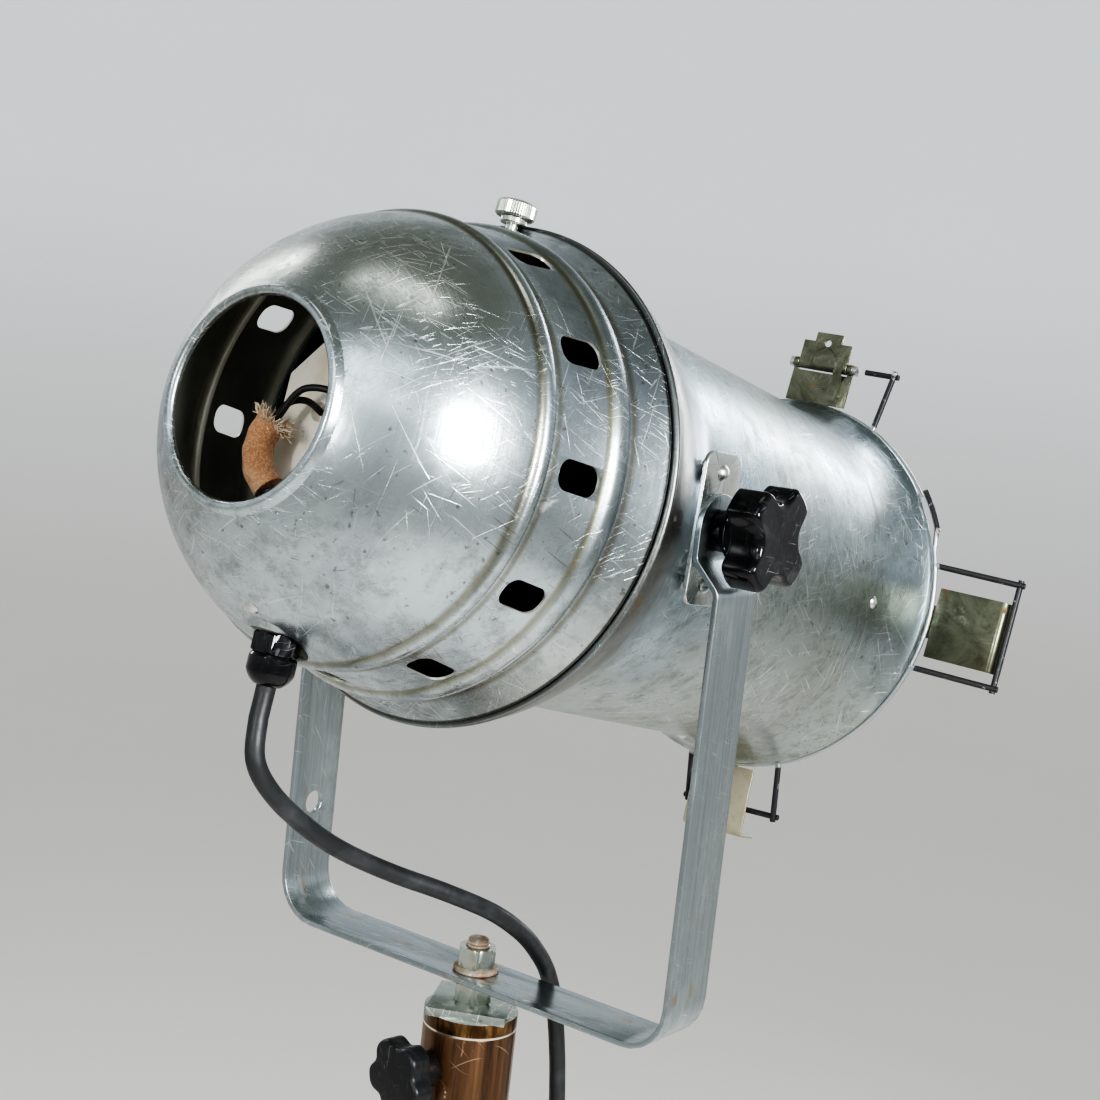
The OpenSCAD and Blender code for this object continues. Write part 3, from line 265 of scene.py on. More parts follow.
def spun_aluminium(name, color, seed, rough):
    """Old polished spinning: dents, rings from the lathe, scratches, smears and stains."""
    p = Paint(name, color, metallic=1.0, roughness=rough)
    cloud = p.noise(9, shift=(seed, 0, 0), detail=6, rough=0.65, bend=0.8)
    fine = p.noise(75, shift=(0, seed, 0), detail=7, rough=0.75)
    wide = p.noise(3.5, shift=(seed, seed, 3))
    p.rub(p.ramp(cloud, 0.38, 0.68), rough + 0.13)
    p.rub(p.ramp(fine, 0.48, 0.75), rough + 0.20)
    # dull oxide in clouds, a little olive in places
    p.tint(p.ramp(cloud, 0.42, 0.62, 0, 0.75), (0.19, 0.22, 0.24))
    p.tint(p.ramp(wide, 0.48, 0.64, 0, 0.5), (0.36, 0.36, 0.27))
    p.tint(p.ramp(fine, 0.48, 0.68, 0, 0.6), (0.14, 0.15, 0.14))
    # smears drawn round the lamp, as left by hands and cloths
    smear = p.times(p.ramp(p.noise((15, 15, 60), (8, 12, 0), (seed, 4, 0), 6, 0.7, 1.4), 0.54, 0.72),
                    p.ramp(p.noise(5, shift=(3, seed, 1)), 0.46, 0.62))
    p.tint(smear, (0.12, 0.115, 0.10), 0.75)
    p.rub(p.times(smear, 0.8), 0.48)
    speck = p.ramp(p.noise(240, shift=(seed, 7, 2)), 0.66, 0.70)
    p.tint(speck, (0.10, 0.09, 0.08), 0.6)
    dark_marks = p.scratches(3, seed + 40, 34, 900, 0.73, 0.3)
    p.tint(dark_marks, (0.12, 0.12, 0.11), 0.6)
    marks = p.math("MAXIMUM", p.scratches(8, seed, 20, 1300, 0.722, 0.1, (0.40, 0.58)),
                   p.scratches(9, seed + 20, 55, 1500, 0.712, 0.35, (0.42, 0.58)))
    # scuffs: short rubs close together
    scuff = p.times(p.ramp(p.noise((150, 420, 150), (40, 20, 70), (2, seed, 5)), 0.58, 0.64),
                    p.ramp(p.noise(26, shift=(seed, 5, 8)), 0.64, 0.70))
    marks = p.math("MAXIMUM", marks, scuff)
    p.tint(marks, (0.92, 0.94, 0.94), 0.40)
    p.rub(p.times(marks, 0.6), 0.42)
    p.grain(12, 0.0014, shift=(seed, 3, 3), detail=1)
    p.grain(45, 0.00022, shift=(seed, 9, 3), detail=2)
    p.grain((4, 4, 1000), 0.00005, shift=(seed, 1, 0), rough=0.6)
    p.raise_by(p.times(marks, -1.0), 0.00005)
    return p


MATS = {}
# lines of painted shade round the cap and the can: painted shade and painted reflection in the creases beside
# the cap's beads, painted shade in the gap at the cap's edge and over the can's hollow neck, and a faint darker
# line where the barrel meets the flare; middle along the lamp, half widths of the full and of the fading part
# in metres, share and colour
CAP_SHADE_LINES = (
    (-0.1390, 0.00060, 0.0030, 0.75, (0.16, 0.15, 0.09)),
    (-0.1275, 0.00044, 0.0022, 0.6, (0.16, 0.15, 0.09)),
    (-0.0968, 0.00052, 0.0026, 0.7, (0.18, 0.17, 0.09)),
    (-0.0802, 0.00056, 0.0028, 0.7, (0.14, 0.13, 0.09)),
    (-0.0627, 0.00022, 0.0011, 0.9, (0.03, 0.03, 0.025)))
CAN_SHADE_LINES = (
    (-0.0500, 0.0040, 0.0340, 0.75, (0.13, 0.12, 0.095)),
    (-0.0612, 0.0004, 0.0012, 1, (0.012, 0.012, 0.01)),
    (0.2045, 0, 0.0012, 0.45, (0.28, 0.28, 0.27)))
# rusty marks beside the brackets: degrees round the lamp, mm along it, radius in metres, size in mm
RUST_SPOTS = ((201, -52, 0.1225, 4.5), (181.6, -49.5, 0.122, 2.2), (38, -52, 0.1225, 3.5))


def paint_shade_lines(p, lines):
    z = p.axis("Z")
    for middle, full, fade, share, color in lines:
        p.tint(p.band(z, middle, full, fade, share), color)


def make_aluminium():
    p = spun_aluminium("spun_cap", (0.50, 0.56, 0.58), 3, 0.20)
    # painted shade and painted reflection in the creases beside the beads, and painted shade in the gap at the
    # skirt's edge
    paint_shade_lines(p, CAP_SHADE_LINES)
    MATS["cap"] = p.done()

    p = spun_aluminium("spun_can", (0.33, 0.41, 0.46), 8, 0.25)
    for turn, along, r, size in RUST_SPOTS:
        t = math.radians(turn)
        spot = p.distance((r * math.cos(t), r * math.sin(t), along * MM))
        ragged = p.math("ADD", spot, p.times(p.noise(300), 0.004))
        mask = p.ramp(ragged, size * MM, size * 1.8 * MM, 1, 0)
        p.tint(mask, (0.13, 0.07, 0.03))
        p.rub(mask, 0.8)
    # painted shade in the gap under the cap's edge and over the hollow neck; the last line, where the barrel
    # meets the flare, is a faint darker line
    paint_shade_lines(p, CAN_SHADE_LINES)
    MATS["can"] = p.done()

    p = Paint("can_inside", (0.70, 0.70, 0.62), metallic=0.8, roughness=0.36)
    p.blotch((0.50, 0.49, 0.42), 25, 0.4, 0.7, detail=5)
    p.grain((3, 3, 700), 0.00004)
    MATS["inside"] = p.done()

    p = Paint("bright_aluminium", (0.62, 0.63, 0.60), metallic=1.0, roughness=0.24)
    p.rub(p.ramp(p.noise(40, detail=5), 0.4, 0.7), 0.45)
    p.tint(p.scratches(4, 5, 60, 1400, 0.68), (0.45, 0.45, 0.44))
    p.blotch((0.40, 0.38, 0.33), 70, 0.55, 0.75, 0.6, detail=6)
    p.grain(200, 0.00006)
    MATS["bright"] = p.done()

    # the gland's seat, painted near black: painted shadow and painted reflection of the gland
    p = Paint("seat_painted_shade", (0.16, 0.16, 0.14), metallic=0.9, roughness=0.4)
    p.blotch((0.05, 0.05, 0.042), 300, 0.4, 0.65, detail=4)
    p.grain(500, 0.00008)
    MATS["seat_shade"] = p.done()


def make_steel():
    # zinc-plated flat steel: brushed along its length, blotched, with a little rust at the bottom
    p = Paint("yoke_zinc", (0.37, 0.41, 0.42), metallic=0.95, roughness=0.27)
    p.blotch((0.22, 0.26, 0.28), (10, 700, 10), 0.35, 0.7, 0.6)
    p.blotch((0.56, 0.61, 0.62), (35, 90, 35), 0.52, 0.74, 0.5, detail=6, rough=0.7)
    blot = p.ramp(p.noise((16, 30, 16), shift=(5, 1, 2), detail=6, rough=0.7), 0.58, 0.70)
    p.tint(blot, (0.30, 0.31, 0.30), 0.5)
    p.rub(blot, 0.55)
    low = p.ramp(p.axis("Z"), 1.26, 1.34, 1, 0)
    rust = p.times(low, p.ramp(p.noise((60, 90, 60), shift=(8, 3, 1), detail=6), 0.60, 0.68))
    p.tint(rust, (0.34, 0.24, 0.12), 0.6)
    p.tint(p.scratches(5, 12, 45, 1300, 0.72), (0.80, 0.84, 0.85), 0.5)
    p.grain((8, 900, 8), 0.00005, detail=2)
    p.grain(22, 0.0005, detail=2)
    MATS["zinc"] = p.done()

    p = Paint("nut_zinc", (0.52, 0.55, 0.48), metallic=0.95, roughness=0.26)
    p.blotch((0.30, 0.30, 0.23), 120, 0.5, 0.75, 0.7, detail=6, rough=0.7)
    p.blotch((0.25, 0.18, 0.10), 300, 0.66, 0.72, 0.7, shift=(4, 4, 1), detail=4)
    p.tint(p.scratches(3, 9, 120, 1800, 0.68), (0.95, 0.95, 0.90))
    p.grain(500, 0.00005)
    MATS["nut_zinc"] = p.done()

    p = Paint("rusty_steel", (0.42, 0.36, 0.29), metallic=0.7, roughness=0.5)
    p.blotch((0.27, 0.14, 0.07), 160, 0.45, 0.65, detail=7, rough=0.75)
    p.blotch((0.68, 0.66, 0.60), 240, 0.6, 0.7, shift=(1, 9, 2), detail=4)
    p.rub(p.ramp(p.noise(200, detail=5), 0.45, 0.6), 0.85)
    p.grain(600, 0.00015, detail=5)
    MATS["rusty"] = p.done()

    # stained sheet steel of the clips
    p = Paint("clip_steel", (0.20, 0.205, 0.145), metallic=0.95, roughness=0.32)
    p.blotch((0.085, 0.085, 0.058), 26, 0.40, 0.62, detail=7, rough=0.7, bend=1.0)
    p.blotch((0.40, 0.40, 0.30), 48, 0.60, 0.70, 0.7, shift=(3, 8, 1), detail=7, rough=0.75)
    rust = p.ramp(p.noise(90, shift=(9, 1, 5), detail=6), 0.62, 0.70)
    p.tint(rust, (0.24, 0.15, 0.07), 0.75)
    p.rub(rust, 0.8)
    p.tint(p.scratches(4, 31, 70, 1500, 0.71), (0.70, 0.70, 0.64), 0.35)
    p.grain(35, 0.0004, detail=2)
    p.grain(500, 0.00004)
    MATS["clip"] = p.done()

    p = Paint("clip_cream", (0.40, 0.37, 0.27), metallic=0.75, roughness=0.38)
    p.blotch((0.30, 0.25, 0.16), 40, 0.48, 0.66, detail=7, rough=0.7)
    p.blotch((0.27, 0.15, 0.07), 70, 0.58, 0.66, shift=(2, 1, 9), detail=6)
    p.grain(300, 0.00010, detail=4)
    MATS["clip_cream"] = p.done()

    # black enamelled wire, silver where it rubbed, and its hoop bare beside the lip
    p = Paint("guard_wire", (0.018, 0.018, 0.02), metallic=0.2, roughness=0.38)
    worn = p.ramp(p.noise(150, detail=6, rough=0.7), 0.62, 0.66)
    p.tint(worn, (0.50, 0.48, 0.44), 0.8)
    # what lies within the lip's radius of the lamp's axis
    hoop = p.node("ShaderNodeMapping", vector_type="TEXTURE")
    p.link(p.coords, hoop.inputs["Vector"])
    hoop.inputs["Location"].default_value = LAMP.translation
    hoop.inputs["Rotation"].default_value = LAMP.to_euler()
    parts = p.node("ShaderNodeSeparateXYZ")
    p.link(hoop.outputs["Vector"], parts.inputs["Vector"])
    square = p.math("ADD", p.times(parts.outputs["X"], parts.outputs["X"]),
                    p.times(parts.outputs["Y"], parts.outputs["Y"]))
    bare = p.ramp(p.math("SQRT", square), 0.1178, 0.1186, 1, 0)
    p.tint(bare, (0.40, 0.43, 0.44))
    p.link(p.math("ADD", p.times(bare, 0.75), 0.2), p.bsdf.inputs["Metallic"])
    p.grain(400, 0.00010)
    MATS["wire"] = p.done()


def make_plastics():
    p = Paint("black_gloss", (0.003, 0.003, 0.004), roughness=0.09, Specular_IOR_Level=0.35, Coat_Weight=0.1)
    p.rub(p.ramp(p.noise(90, detail=5), 0.45, 0.75), 0.24)
    p.tint(p.scratches(4, 17, 90, 1600, 0.70), (0.22, 0.23, 0.25), 0.5)
    p.grain(70, 0.00015, detail=2)
    MATS["gloss"] = p.done()

    p = Paint("black_satin", (0.007, 0.007, 0.008), roughness=0.34, Specular_IOR_Level=0.4)
    p.rub(p.ramp(p.noise(200, detail=4), 0.4, 0.7), 0.52)
    p.blotch((0.07, 0.065, 0.06), 60, 0.58, 0.75, 0.5, detail=6)
    p.tint(p.scratches(3, 27, 90, 1600, 0.71), (0.20, 0.20, 0.20), 0.5)
    p.grain(900, 0.00006, detail=2)
    MATS["satin"] = p.done()

    p = Paint("rubber_lead", (0.012, 0.013, 0.014), roughness=0.44)
    p.rub(p.ramp(p.noise(130, detail=5), 0.45, 0.7), 0.62)
    p.blotch((0.045, 0.047, 0.05), 50, 0.5, 0.75, 0.7, detail=7, rough=0.7)
    p.grain(350, 0.00012, detail=4)
    MATS["rubber"] = p.done()


def make_stand_paints():
    # worn brown lacquer: copper and gold where it is rubbed, dark streaks down it, pale scrapes
    p = Paint("brown_lacquer", (0.105, 0.052, 0.026), metallic=0.7, roughness=0.30, Coat_Weight=0.35,
              Coat_Roughness=0.12)
    p.blotch((0.20, 0.105, 0.048), (120, 120, 6), 0.46, 0.68, detail=5, rough=0.65)
    p.blotch((0.035, 0.018, 0.010), (160, 160, 9), 0.52, 0.66, 0.85, shift=(3, 1, 4), detail=6, rough=0.7)
    p.blotch((0.58, 0.42, 0.22), (70, 70, 20), 0.62, 0.69, 0.8, shift=(7, 2, 8), detail=7, rough=0.7)
    scrape = p.ramp(p.noise((110, 110, 45), shift=(1, 6, 2), detail=7, rough=0.75), 0.66, 0.70)
    p.tint(scrape, (0.66, 0.60, 0.50))
    p.rub(scrape, 0.5)
    p.tint(p.scratches(4, 41, 40, 1300, 0.735), (0.70, 0.58, 0.40), 0.5)
    p.grain((90, 90, 20), 0.0002, detail=4)
    MATS["brown"] = p.done()

    p = Paint("plate_zinc", (0.42, 0.46, 0.42), metallic=0.95, roughness=0.28)
    p.blotch((0.26, 0.29, 0.25), 70, 0.45, 0.7, 0.6, detail=6, rough=0.7)
    p.blotch((0.26, 0.20, 0.12), 140, 0.60, 0.68, 0.7, shift=(3, 1, 1), detail=6)
    p.tint(p.scratches(4, 3, 90, 1300, 0.68), (0.90, 0.92, 0.88))
    # the collar under the plate is lacquered as the tube is, with a worn ring
    z = p.axis("Z")
    collar = p.ramp(z, 1.2260, 1.2262, 1, 0)
    streaks = p.ramp(p.noise((110, 110, 30), detail=6, rough=0.7), 0.45, 0.62)
    lacquer = p.mix(streaks, (0.09, 0.045, 0.022), (0.30, 0.18, 0.08))
    lacquer = p.mix(p.band(z, 1.2183, 0.0003, 0.0008), lacquer, (0.86, 0.80, 0.66))
    p.tint(collar, lacquer)
    p.grain(300, 0.00008, detail=4)
    MATS["plate"] = p.done()

    p = Paint("cast_enamel", (0.055, 0.045, 0.038), metallic=0.1, roughness=0.42)
    p.blotch((0.26, 0.22, 0.18), 80, 0.62, 0.68, detail=7, rough=0.7)
    p.blotch((0.10, 0.07, 0.05), 35, 0.5, 0.7, 0.6, shift=(4, 0, 3), detail=5)
    p.grain(260, 0.00035, detail=4)
    MATS["cast"] = p.done()


def make_inner_paints():
    p = Paint("porcelain", (0.92, 0.88, 0.78), roughness=0.16, Coat_Weight=0.4)
    p.blotch((0.66, 0.55, 0.36), 45, 0.5, 0.72, 0.6, detail=6)
    p.blotch((0.25, 0.20, 0.14), 160, 0.66, 0.72, 0.5, detail=5)
    p.grain(120, 0.0001, detail=2)
    MATS["porcelain"] = p.done()

    # braided sleeving, knotted and streaked
    p = Paint("woven_sleeve", (0.66, 0.36, 0.19), roughness=0.8, Sheen_Weight=0.3)
    knots = p.cells(950)
    p.tint(p.ramp(knots, 0.2, 0.6, 0, 0.8), (0.36, 0.16, 0.07))
    p.blotch((0.78, 0.52, 0.32), 60, 0.5, 0.7, 0.6, detail=5)
    p.raise_by(p.times(knots, -1.0), 0.0004)
    p.grain((900, 900, 240), 0.0002, detail=0)
    MATS["sleeve"] = p.done()

    p = Paint("frayed_ends", (0.80, 0.70, 0.56), roughness=0.9, Sheen_Weight=0.4)
    p.blotch((0.62, 0.40, 0.22), 300, 0.45, 0.65)
    MATS["fray"] = p.done()

    p = Paint("brass", (0.62, 0.44, 0.18), metallic=1.0, roughness=0.3)
    p.blotch((0.30, 0.20, 0.09), 150, 0.5, 0.7, detail=6)
    p.grain(600, 0.00004, detail=2)
    MATS["brass"] = p.done()

    # the sealed beam: a stippled lens, and the smooth bowl behind it, painted dark as painted shade inside the
    # can
    p = Paint("lamp_glass", (0.66, 0.70, 0.72), metallic=0.55, roughness=0.07, Coat_Weight=0.6,
              Coat_Roughness=0.03)
    stipple = p.cells(330)
    p.tint(p.ramp(stipple, 0.1, 0.7, 0, 0.7), (0.34, 0.38, 0.41))
    bowl = p.ramp(p.axis("Y"), -0.088, -0.078)
    # painted shade: the bowl is painted near black as it lies in shadow inside the can
    p.tint(bowl, (0.05, 0.052, 0.055))
    p.rub(bowl, 0.4)
    p.raise_by(p.times(stipple, p.math("SUBTRACT", bowl, 1.0)), 0.0011)
    MATS["glass"] = p.done()


def make_floor():
    # the floor and wall glow a little, bluer higher up
    p = Paint("studio_floor", (0.66, 0.645, 0.63), roughness=0.6, Emission_Strength=0.42)
    wall = p.ramp(p.axis("Z"), 0.0, 2.4)
    p.link(p.mix(wall, (0.24, 0.22, 0.20), (0.62, 0.69, 0.75)), p.bsdf.inputs["Emission Color"])
    p.blotch((0.60, 0.59, 0.58), 0.8, 0.3, 0.7, 0.25)
    p.grain(40, 0.0003)
    MATS["floor"] = p.done()


make_aluminium()
make_steel()
make_plastics()
make_stand_paints()
make_inner_paints()
make_floor()


# ---------------------------------------------------------------- mesh tools
def closed_mesh(name, verts, faces):
    """A mesh from vertices in mm, its faces turned outwards."""
    me = bpy.data.meshes.new(name)
    me.from_pydata((np.asarray(verts, float) * MM).tolist(), [], [list(map(int, f)) for f in faces])
    me.validate()
    bm = bmesh.new()
    bm.from_mesh(me)
    bmesh.ops.recalc_face_normals(bm, faces=bm.faces)
    bm.to_mesh(me)
    bm.free()
    return me


def add(name, verts, faces, at, body, mat, slot, nodes=(), sharp=32):
    """A new piece from vertices in mm in the frame at, riding on a body and standing for CAD nodes."""
    me = closed_mesh(name, verts, faces)
    me.shade_smooth()
    me.set_sharp_from_angle(angle=math.radians(sharp))
    me.materials.append(MATS[mat])
    o = bpy.data.objects.new(name, me)
    bpy.context.scene.collection.objects.link(o)
    o.matrix_world = at
    if body:
        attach(o, body)
    if nodes:
        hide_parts(*nodes)
    return o


def loft(rings, loop=False, caps=True):
    """Faces between rings of the same length; loop joins the last ring to the first."""
    rings = [np.asarray(r, float) for r in rings]
    n, last = len(rings[0]), len(rings) - 1
    faces = []
    for i in range(last + 1 if loop else last):
        a, b = i * n, (i + 1) % (last + 1) * n
        for k in range(n):
            faces.append((a + k, a + (k + 1) % n, b + (k + 1) % n, b + k))
    if caps and not loop:
        faces.append(tuple(range(n))[::-1])
        faces.append(tuple(last * n + k for k in range(n)))
    return np.vstack(rings), faces


def lathe(profile, n=192, loop=False, caps=False):
    """Turns (radius, z) points about z."""
    t = np.radians(np.arange(n) * 360.0 / n)
    return loft([np.stack([r * np.cos(t), r * np.sin(t), np.full(n, z)], 1) for r, z in profile], loop, caps)


def polar(radii, z):
    """A ring about z at one height, with a radius for each point."""
    t = np.linspace(0, 2 * np.pi, len(radii), endpoint=False)
    return np.stack([radii * np.cos(t), radii * np.sin(t), np.full(len(radii), z)], 1)


def stack(rows, n=96, **how):
    """Rings about z from (radius, height), the radius one number or one for each of n points."""
    return loft([polar(np.broadcast_to(r, n), z) for r, z in rows], **how)


def join(parts):
    """Several (vertices, faces) as one."""
    verts, faces, at = [], [], 0
    for v, f in parts:
        verts.append(np.asarray(v, float))
        faces += [tuple(i + at for i in face) for face in f]
        at += len(v)
    return np.vstack(verts), faces


def moved(part, matrix):
    """Vertices and faces moved by a matrix in mm."""
    v, f = part
    m = np.array(matrix, float)
    return v @ m[:3, :3].T + m[:3, 3], f


def arc(x, y, r, a0, a1, n=10):
    """Points on an arc about (x, y), from a0 to a1 degrees."""
    t = np.radians(np.linspace(a0, a1, n + 1))
    return [(x + r * math.cos(a), y + r * math.sin(a)) for a in t]


def thick(line, t):
    """A closed outline from a line of (radius, z): the line, and the same line moved to its left."""
    p = np.array(line, float)
    d = np.gradient(p, axis=0)
    d /= np.linalg.norm(d, axis=1)[:, None]
    side = np.stack([-d[:, 1], d[:, 0]], 1)
    return [tuple(q) for q in p] + [tuple(q) for q in (p + side * t)[::-1]]


def spline(points, steps):
    """A smooth line through the points (Catmull-Rom)."""
    p = [np.array(q, float) for q in points]
    out = []
    for i in range(len(p) - 1):
        a, b, c, d = p[max(i - 1, 0)], p[i], p[i + 1], p[min(i + 2, len(p) - 1)]
        for k in range(steps):
            t = k / steps
            out.append(0.5 * (2 * b + (c - a) * t + (2 * a - 5 * b + 4 * c - d) * t * t
                              + (3 * b - a - 3 * c + d) * t ** 3))
    return out + [p[-1]]


def tube(points, radius, n=16, start=None, end=None):
    """A round tube along the points; radius is a number or one per point."""
    p = np.array(points, float)
    d = np.gradient(p, axis=0)
    d /= np.linalg.norm(d, axis=1)[:, None]
    if start is not None:
        d[0] = start
    if end is not None:
        d[-1] = end
    r = np.broadcast_to(radius, len(p))
    u = np.cross(d[0], [0.31, 0.17, 0.93])
    rings = []
    t = np.linspace(0, 2 * np.pi, n, endpoint=False)[:, None]
    for i in range(len(p)):
        u = u - d[i] * (u @ d[i])
        u /= np.linalg.norm(u)
        rings.append(p[i] + r[i] * (np.cos(t) * u + np.sin(t) * np.cross(d[i], u)))
    return loft(rings)


def cut(obj, verts, faces, at):
    """Takes a closed shape away from a piece, for good."""
    tool = bpy.data.objects.new("cutter", closed_mesh("cutter", verts, faces))
    bpy.context.scene.collection.objects.link(tool)
    tool.matrix_world = at
    mod = obj.modifiers.new("cut", "BOOLEAN")
    mod.operation = "DIFFERENCE"
    mod.solver = "EXACT"
    mod.object = tool
    bpy.context.view_layer.update()
    done = bpy.data.meshes.new_from_object(obj.evaluated_get(bpy.context.evaluated_depsgraph_get()))
    obj.modifiers.clear()
    obj.data = done
    bpy.data.objects.remove(tool)


def second_material(obj, mat, test):
    """Gives a second material to the faces whose middle, in the piece's own mm, passes the test."""
    obj.data.materials.append(MATS[mat])
    last = len(obj.data.materials) - 1
    for f in obj.data.polygons:
        if test(f.center / MM, f.normal):
            f.material_index = last


# ---------------------------------------------------------------- mains lead, as in the CAD
# the gland: how far it lies behind the tilt axis, and its seat and its end from the lamp's axis
GLAND_BACK, GLAND_FACE, GLAND_END = 153.0, 95.0, 121.02
LEAN_SIN, LEAN_COS = math.sin(math.radians(LEAN)), math.cos(math.radians(LEAN))
GLAND_AXIS = np.array([0, LEAN_SIN, -LEAN_COS])
GLAND_OUT = (GLAND_END + 0.1) * GLAND_AXIS + [0, GLAND_BACK * LEAN_COS, TILT_Z + GLAND_BACK * LEAN_SIN]
# the route, in the stand's frame
LEAD_GLAND = [GLAND_OUT + 12 * GLAND_AXIS, (-3, 180, 1384)]
LEAD_UPPER = [(-5, 170, 1368), (-6, 148, 1350), (-7, 122, 1334), (-15, 93, 1320), (-26, 66, 1309),
              (-35, 38, 1296), (-37, 14, 1281)]
LEAD_DROP = [(-35, -5, 1266), (-31, -22, 1250), (-29, -34, 1230), (-29, -42, 1202), (-30, -46, 1173),
             (-33, -48, 1130)]
LEAD_LOWER = [(-40, -50, 1050), (-52, -50, 950), (-68, -50, 840), (-86, -48, 720), (-102, -45, 600),
              (-116, -41, 480), (-129, -36, 360), (-141, -30, 250), (-150, -24, 160), (-156, -20, 100),
              (-158, -19, 62), (-157, -24, 38), (-153, -35, 21)]
# two layers of turns, wound in and then out again; angles in degrees
COIL_R, COIL_STEP, COIL_LOOPS, COIL_START = 56.0, 10.2, 2, 200.0
COIL_CENTRE = np.array([-190.0, -95.0, 0.0])
COIL_TOTAL = 2 * COIL_LOOPS * 360 + 180
COIL_LIFT = LEAD_D / 2 + 1.4
LEAD_STEPS = 6


def coil_point(a):
    """The point of the coil after a degrees of winding."""
    r = COIL_R - COIL_STEP * min(a, COIL_TOTAL - a) / 360
    z = COIL_LIFT + COIL_STEP * min(max((a - COIL_LOOPS * 360) / 180, 0), 1)
    t = math.radians(COIL_START + a)
    return COIL_CENTRE + [r * math.cos(t), r * math.sin(t), z]


def unit(v):
    return v / np.linalg.norm(v)


def make_lead():
    steps = COIL_TOTAL // 10
    coil = [coil_point(COIL_TOTAL * i / steps) for i in range(steps + 1)]
    end_dir = unit(coil_point(COIL_TOTAL) - coil_point(COIL_TOTAL - 15))
    first_dir = unit(coil_point(0) - coil_point(15))
    coil_in = coil[-1] + LEAD_D * 1.2 * end_dir
    coil_out = coil[0] + LEAD_D * 5 * first_dir
    route = [GLAND_OUT] + spline(LEAD_GLAND + LEAD_UPPER + LEAD_DROP + LEAD_LOWER + [coil_in + 18 * end_dir],
                                 LEAD_STEPS) + [coil_in]
    cuts = [0, 1 + LEAD_STEPS * (1 + len(LEAD_UPPER))]
    cuts.append(cuts[-1] + LEAD_STEPS * len(LEAD_DROP))
    cuts.append(len(route) - 1)
    # each stretch runs from the body it leaves to the body it goes on to
    stretches = (("cable_upper", "head", "yoke", ("lead_gland", "lead_upper"), LEAD_GLAND[1]),
                 ("cable_drop", "yoke", "column", ("lead_drop",), None),
                 ("cable_lower", "column", "base", ("lead_lower",), None))
    heading = np.gradient(np.array(route), axis=0)
    for i, (name, body, onto, nodes, start) in enumerate(stretches):
        part = route[cuts[i]:cuts[i + 1] + 1]
        v, f = tube(part, LEAD_D / 2, 20, unit(heading[cuts[i]]), unit(heading[cuts[i + 1]]))
        piece = add(name, v, f, STAND, None, "rubber", None, nodes, 60)
        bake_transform(piece)
    line = [coil_out] + [coil[0] + LEAD_D * k * first_dir for k in (4, 3, 2, 1)] + coil + [coil_in]
    v, f = tube(line, LEAD_D / 2, 14)
    add("cable_coil", v, f, STAND, "base", "rubber", "rubber", ["lead_coil"], 60)

    plug = make_plug(coil_out, first_dir)


def rounded_box(size, r, n=6):
    """A box with round corners and edges, its middle at the origin."""
    x, y, z = (np.array(size, float) / 2) - r
    bm = bmesh.new()
    bmesh.ops.create_cube(bm, size=2)
    for v in bm.verts:
        v.co = (v.co.x * (x + r), v.co.y * (y + r), v.co.z * (z + r))
    bmesh.ops.bevel(bm, geom=list(bm.edges), offset=r, segments=n, profile=0.5, affect="EDGES")
    verts = [tuple(v.co) for v in bm.verts]
    bm.verts.index_update()
    faces = [tuple(v.index for v in f.verts) for f in bm.faces]
    bm.free()
    return np.array(verts), faces


def make_plug(out, direction):
    """A plain plug on its back: a body with a stepped edge, and a ribbed collar on the lead."""
    turn = math.atan2(direction[1], direction[0])
    at = STAND @ Matrix.Translation(Vector((out[0], out[1], 0)) * MM) @ Matrix.Rotation(turn, 4, "Z")
    box = moved(rounded_box((48, 47, 16.5), 3.5), Matrix.Translation((40, 0, 8.3)))
    face = moved(rounded_box((47.4, 46.4, 3.6), 1.5, 4), Matrix.Translation((40, 0, 18.1)))
    profile = [(5.2, 0)]
    for i in range(5):
        z = 1.2 + i * 2.6
        r = 5.3 + 0.45 * i
        profile += [(r + 0.7, z), (r + 0.7, z + 1.5), (r, z + 1.6), (r, z + 2.4)]
    profile += [(7.8, 15), (7.8, 17.5)]
    collar = moved(lathe(profile, 32, caps=True),
                   Matrix.Translation((0.1, 0, float(out[2]))) @ turned(90, "Y"))
    v, f = join([box, face, collar])
    v[:, 2] = np.maximum(v[:, 2], 0.02)
    return add("plug_shell", v, f, at, "base", "satin", "satin_black", ["plug_body"], 40)


make_lead()


# ---------------------------------------------------------------- rear cap
DOME_R, DOME_Z = 109.6, -106
SLOTS, SLOT_Z, SLOT_CORNER = 12, -111.3, 5.9
SLOT_HALF_X, SLOT_HALF_Y = 12.0, 7.0
SLOT_INNER, SLOT_OUTER = 86.0, 130.0
SEAT_HOLE_R = 15
# the flat seat pressed in the dome: radius, and share of the way out to the dome
SEAT = ((8.0, 0), (11.4, 0), (12.0, 0.04), (12.6, 0.16), (13.3, 0.36), (14.0, 0.62), (14.6, 0.83), (15.1, 0.96),
        (15.6, 1))
# the wall's middle line as (radius, z) in the lamp's frame: rolled hole, dome, bead, band, bead, skirt
CAP = (arc(47.5, -204.77, 2.6, 150, 330, 16) + arc(0, DOME_Z, DOME_R, -62.2, -17.5, 60)
       + arc(102.2, -133.6, 5.3, -52, 50, 16) + [(106.7, -126.6), (112.1, -97.0)]
       + arc(106.9, -89.0, 9.1, -44, 44, 16) + [(114.1, -80.0), (121.9, -63.4), (122.5, -62.2)])


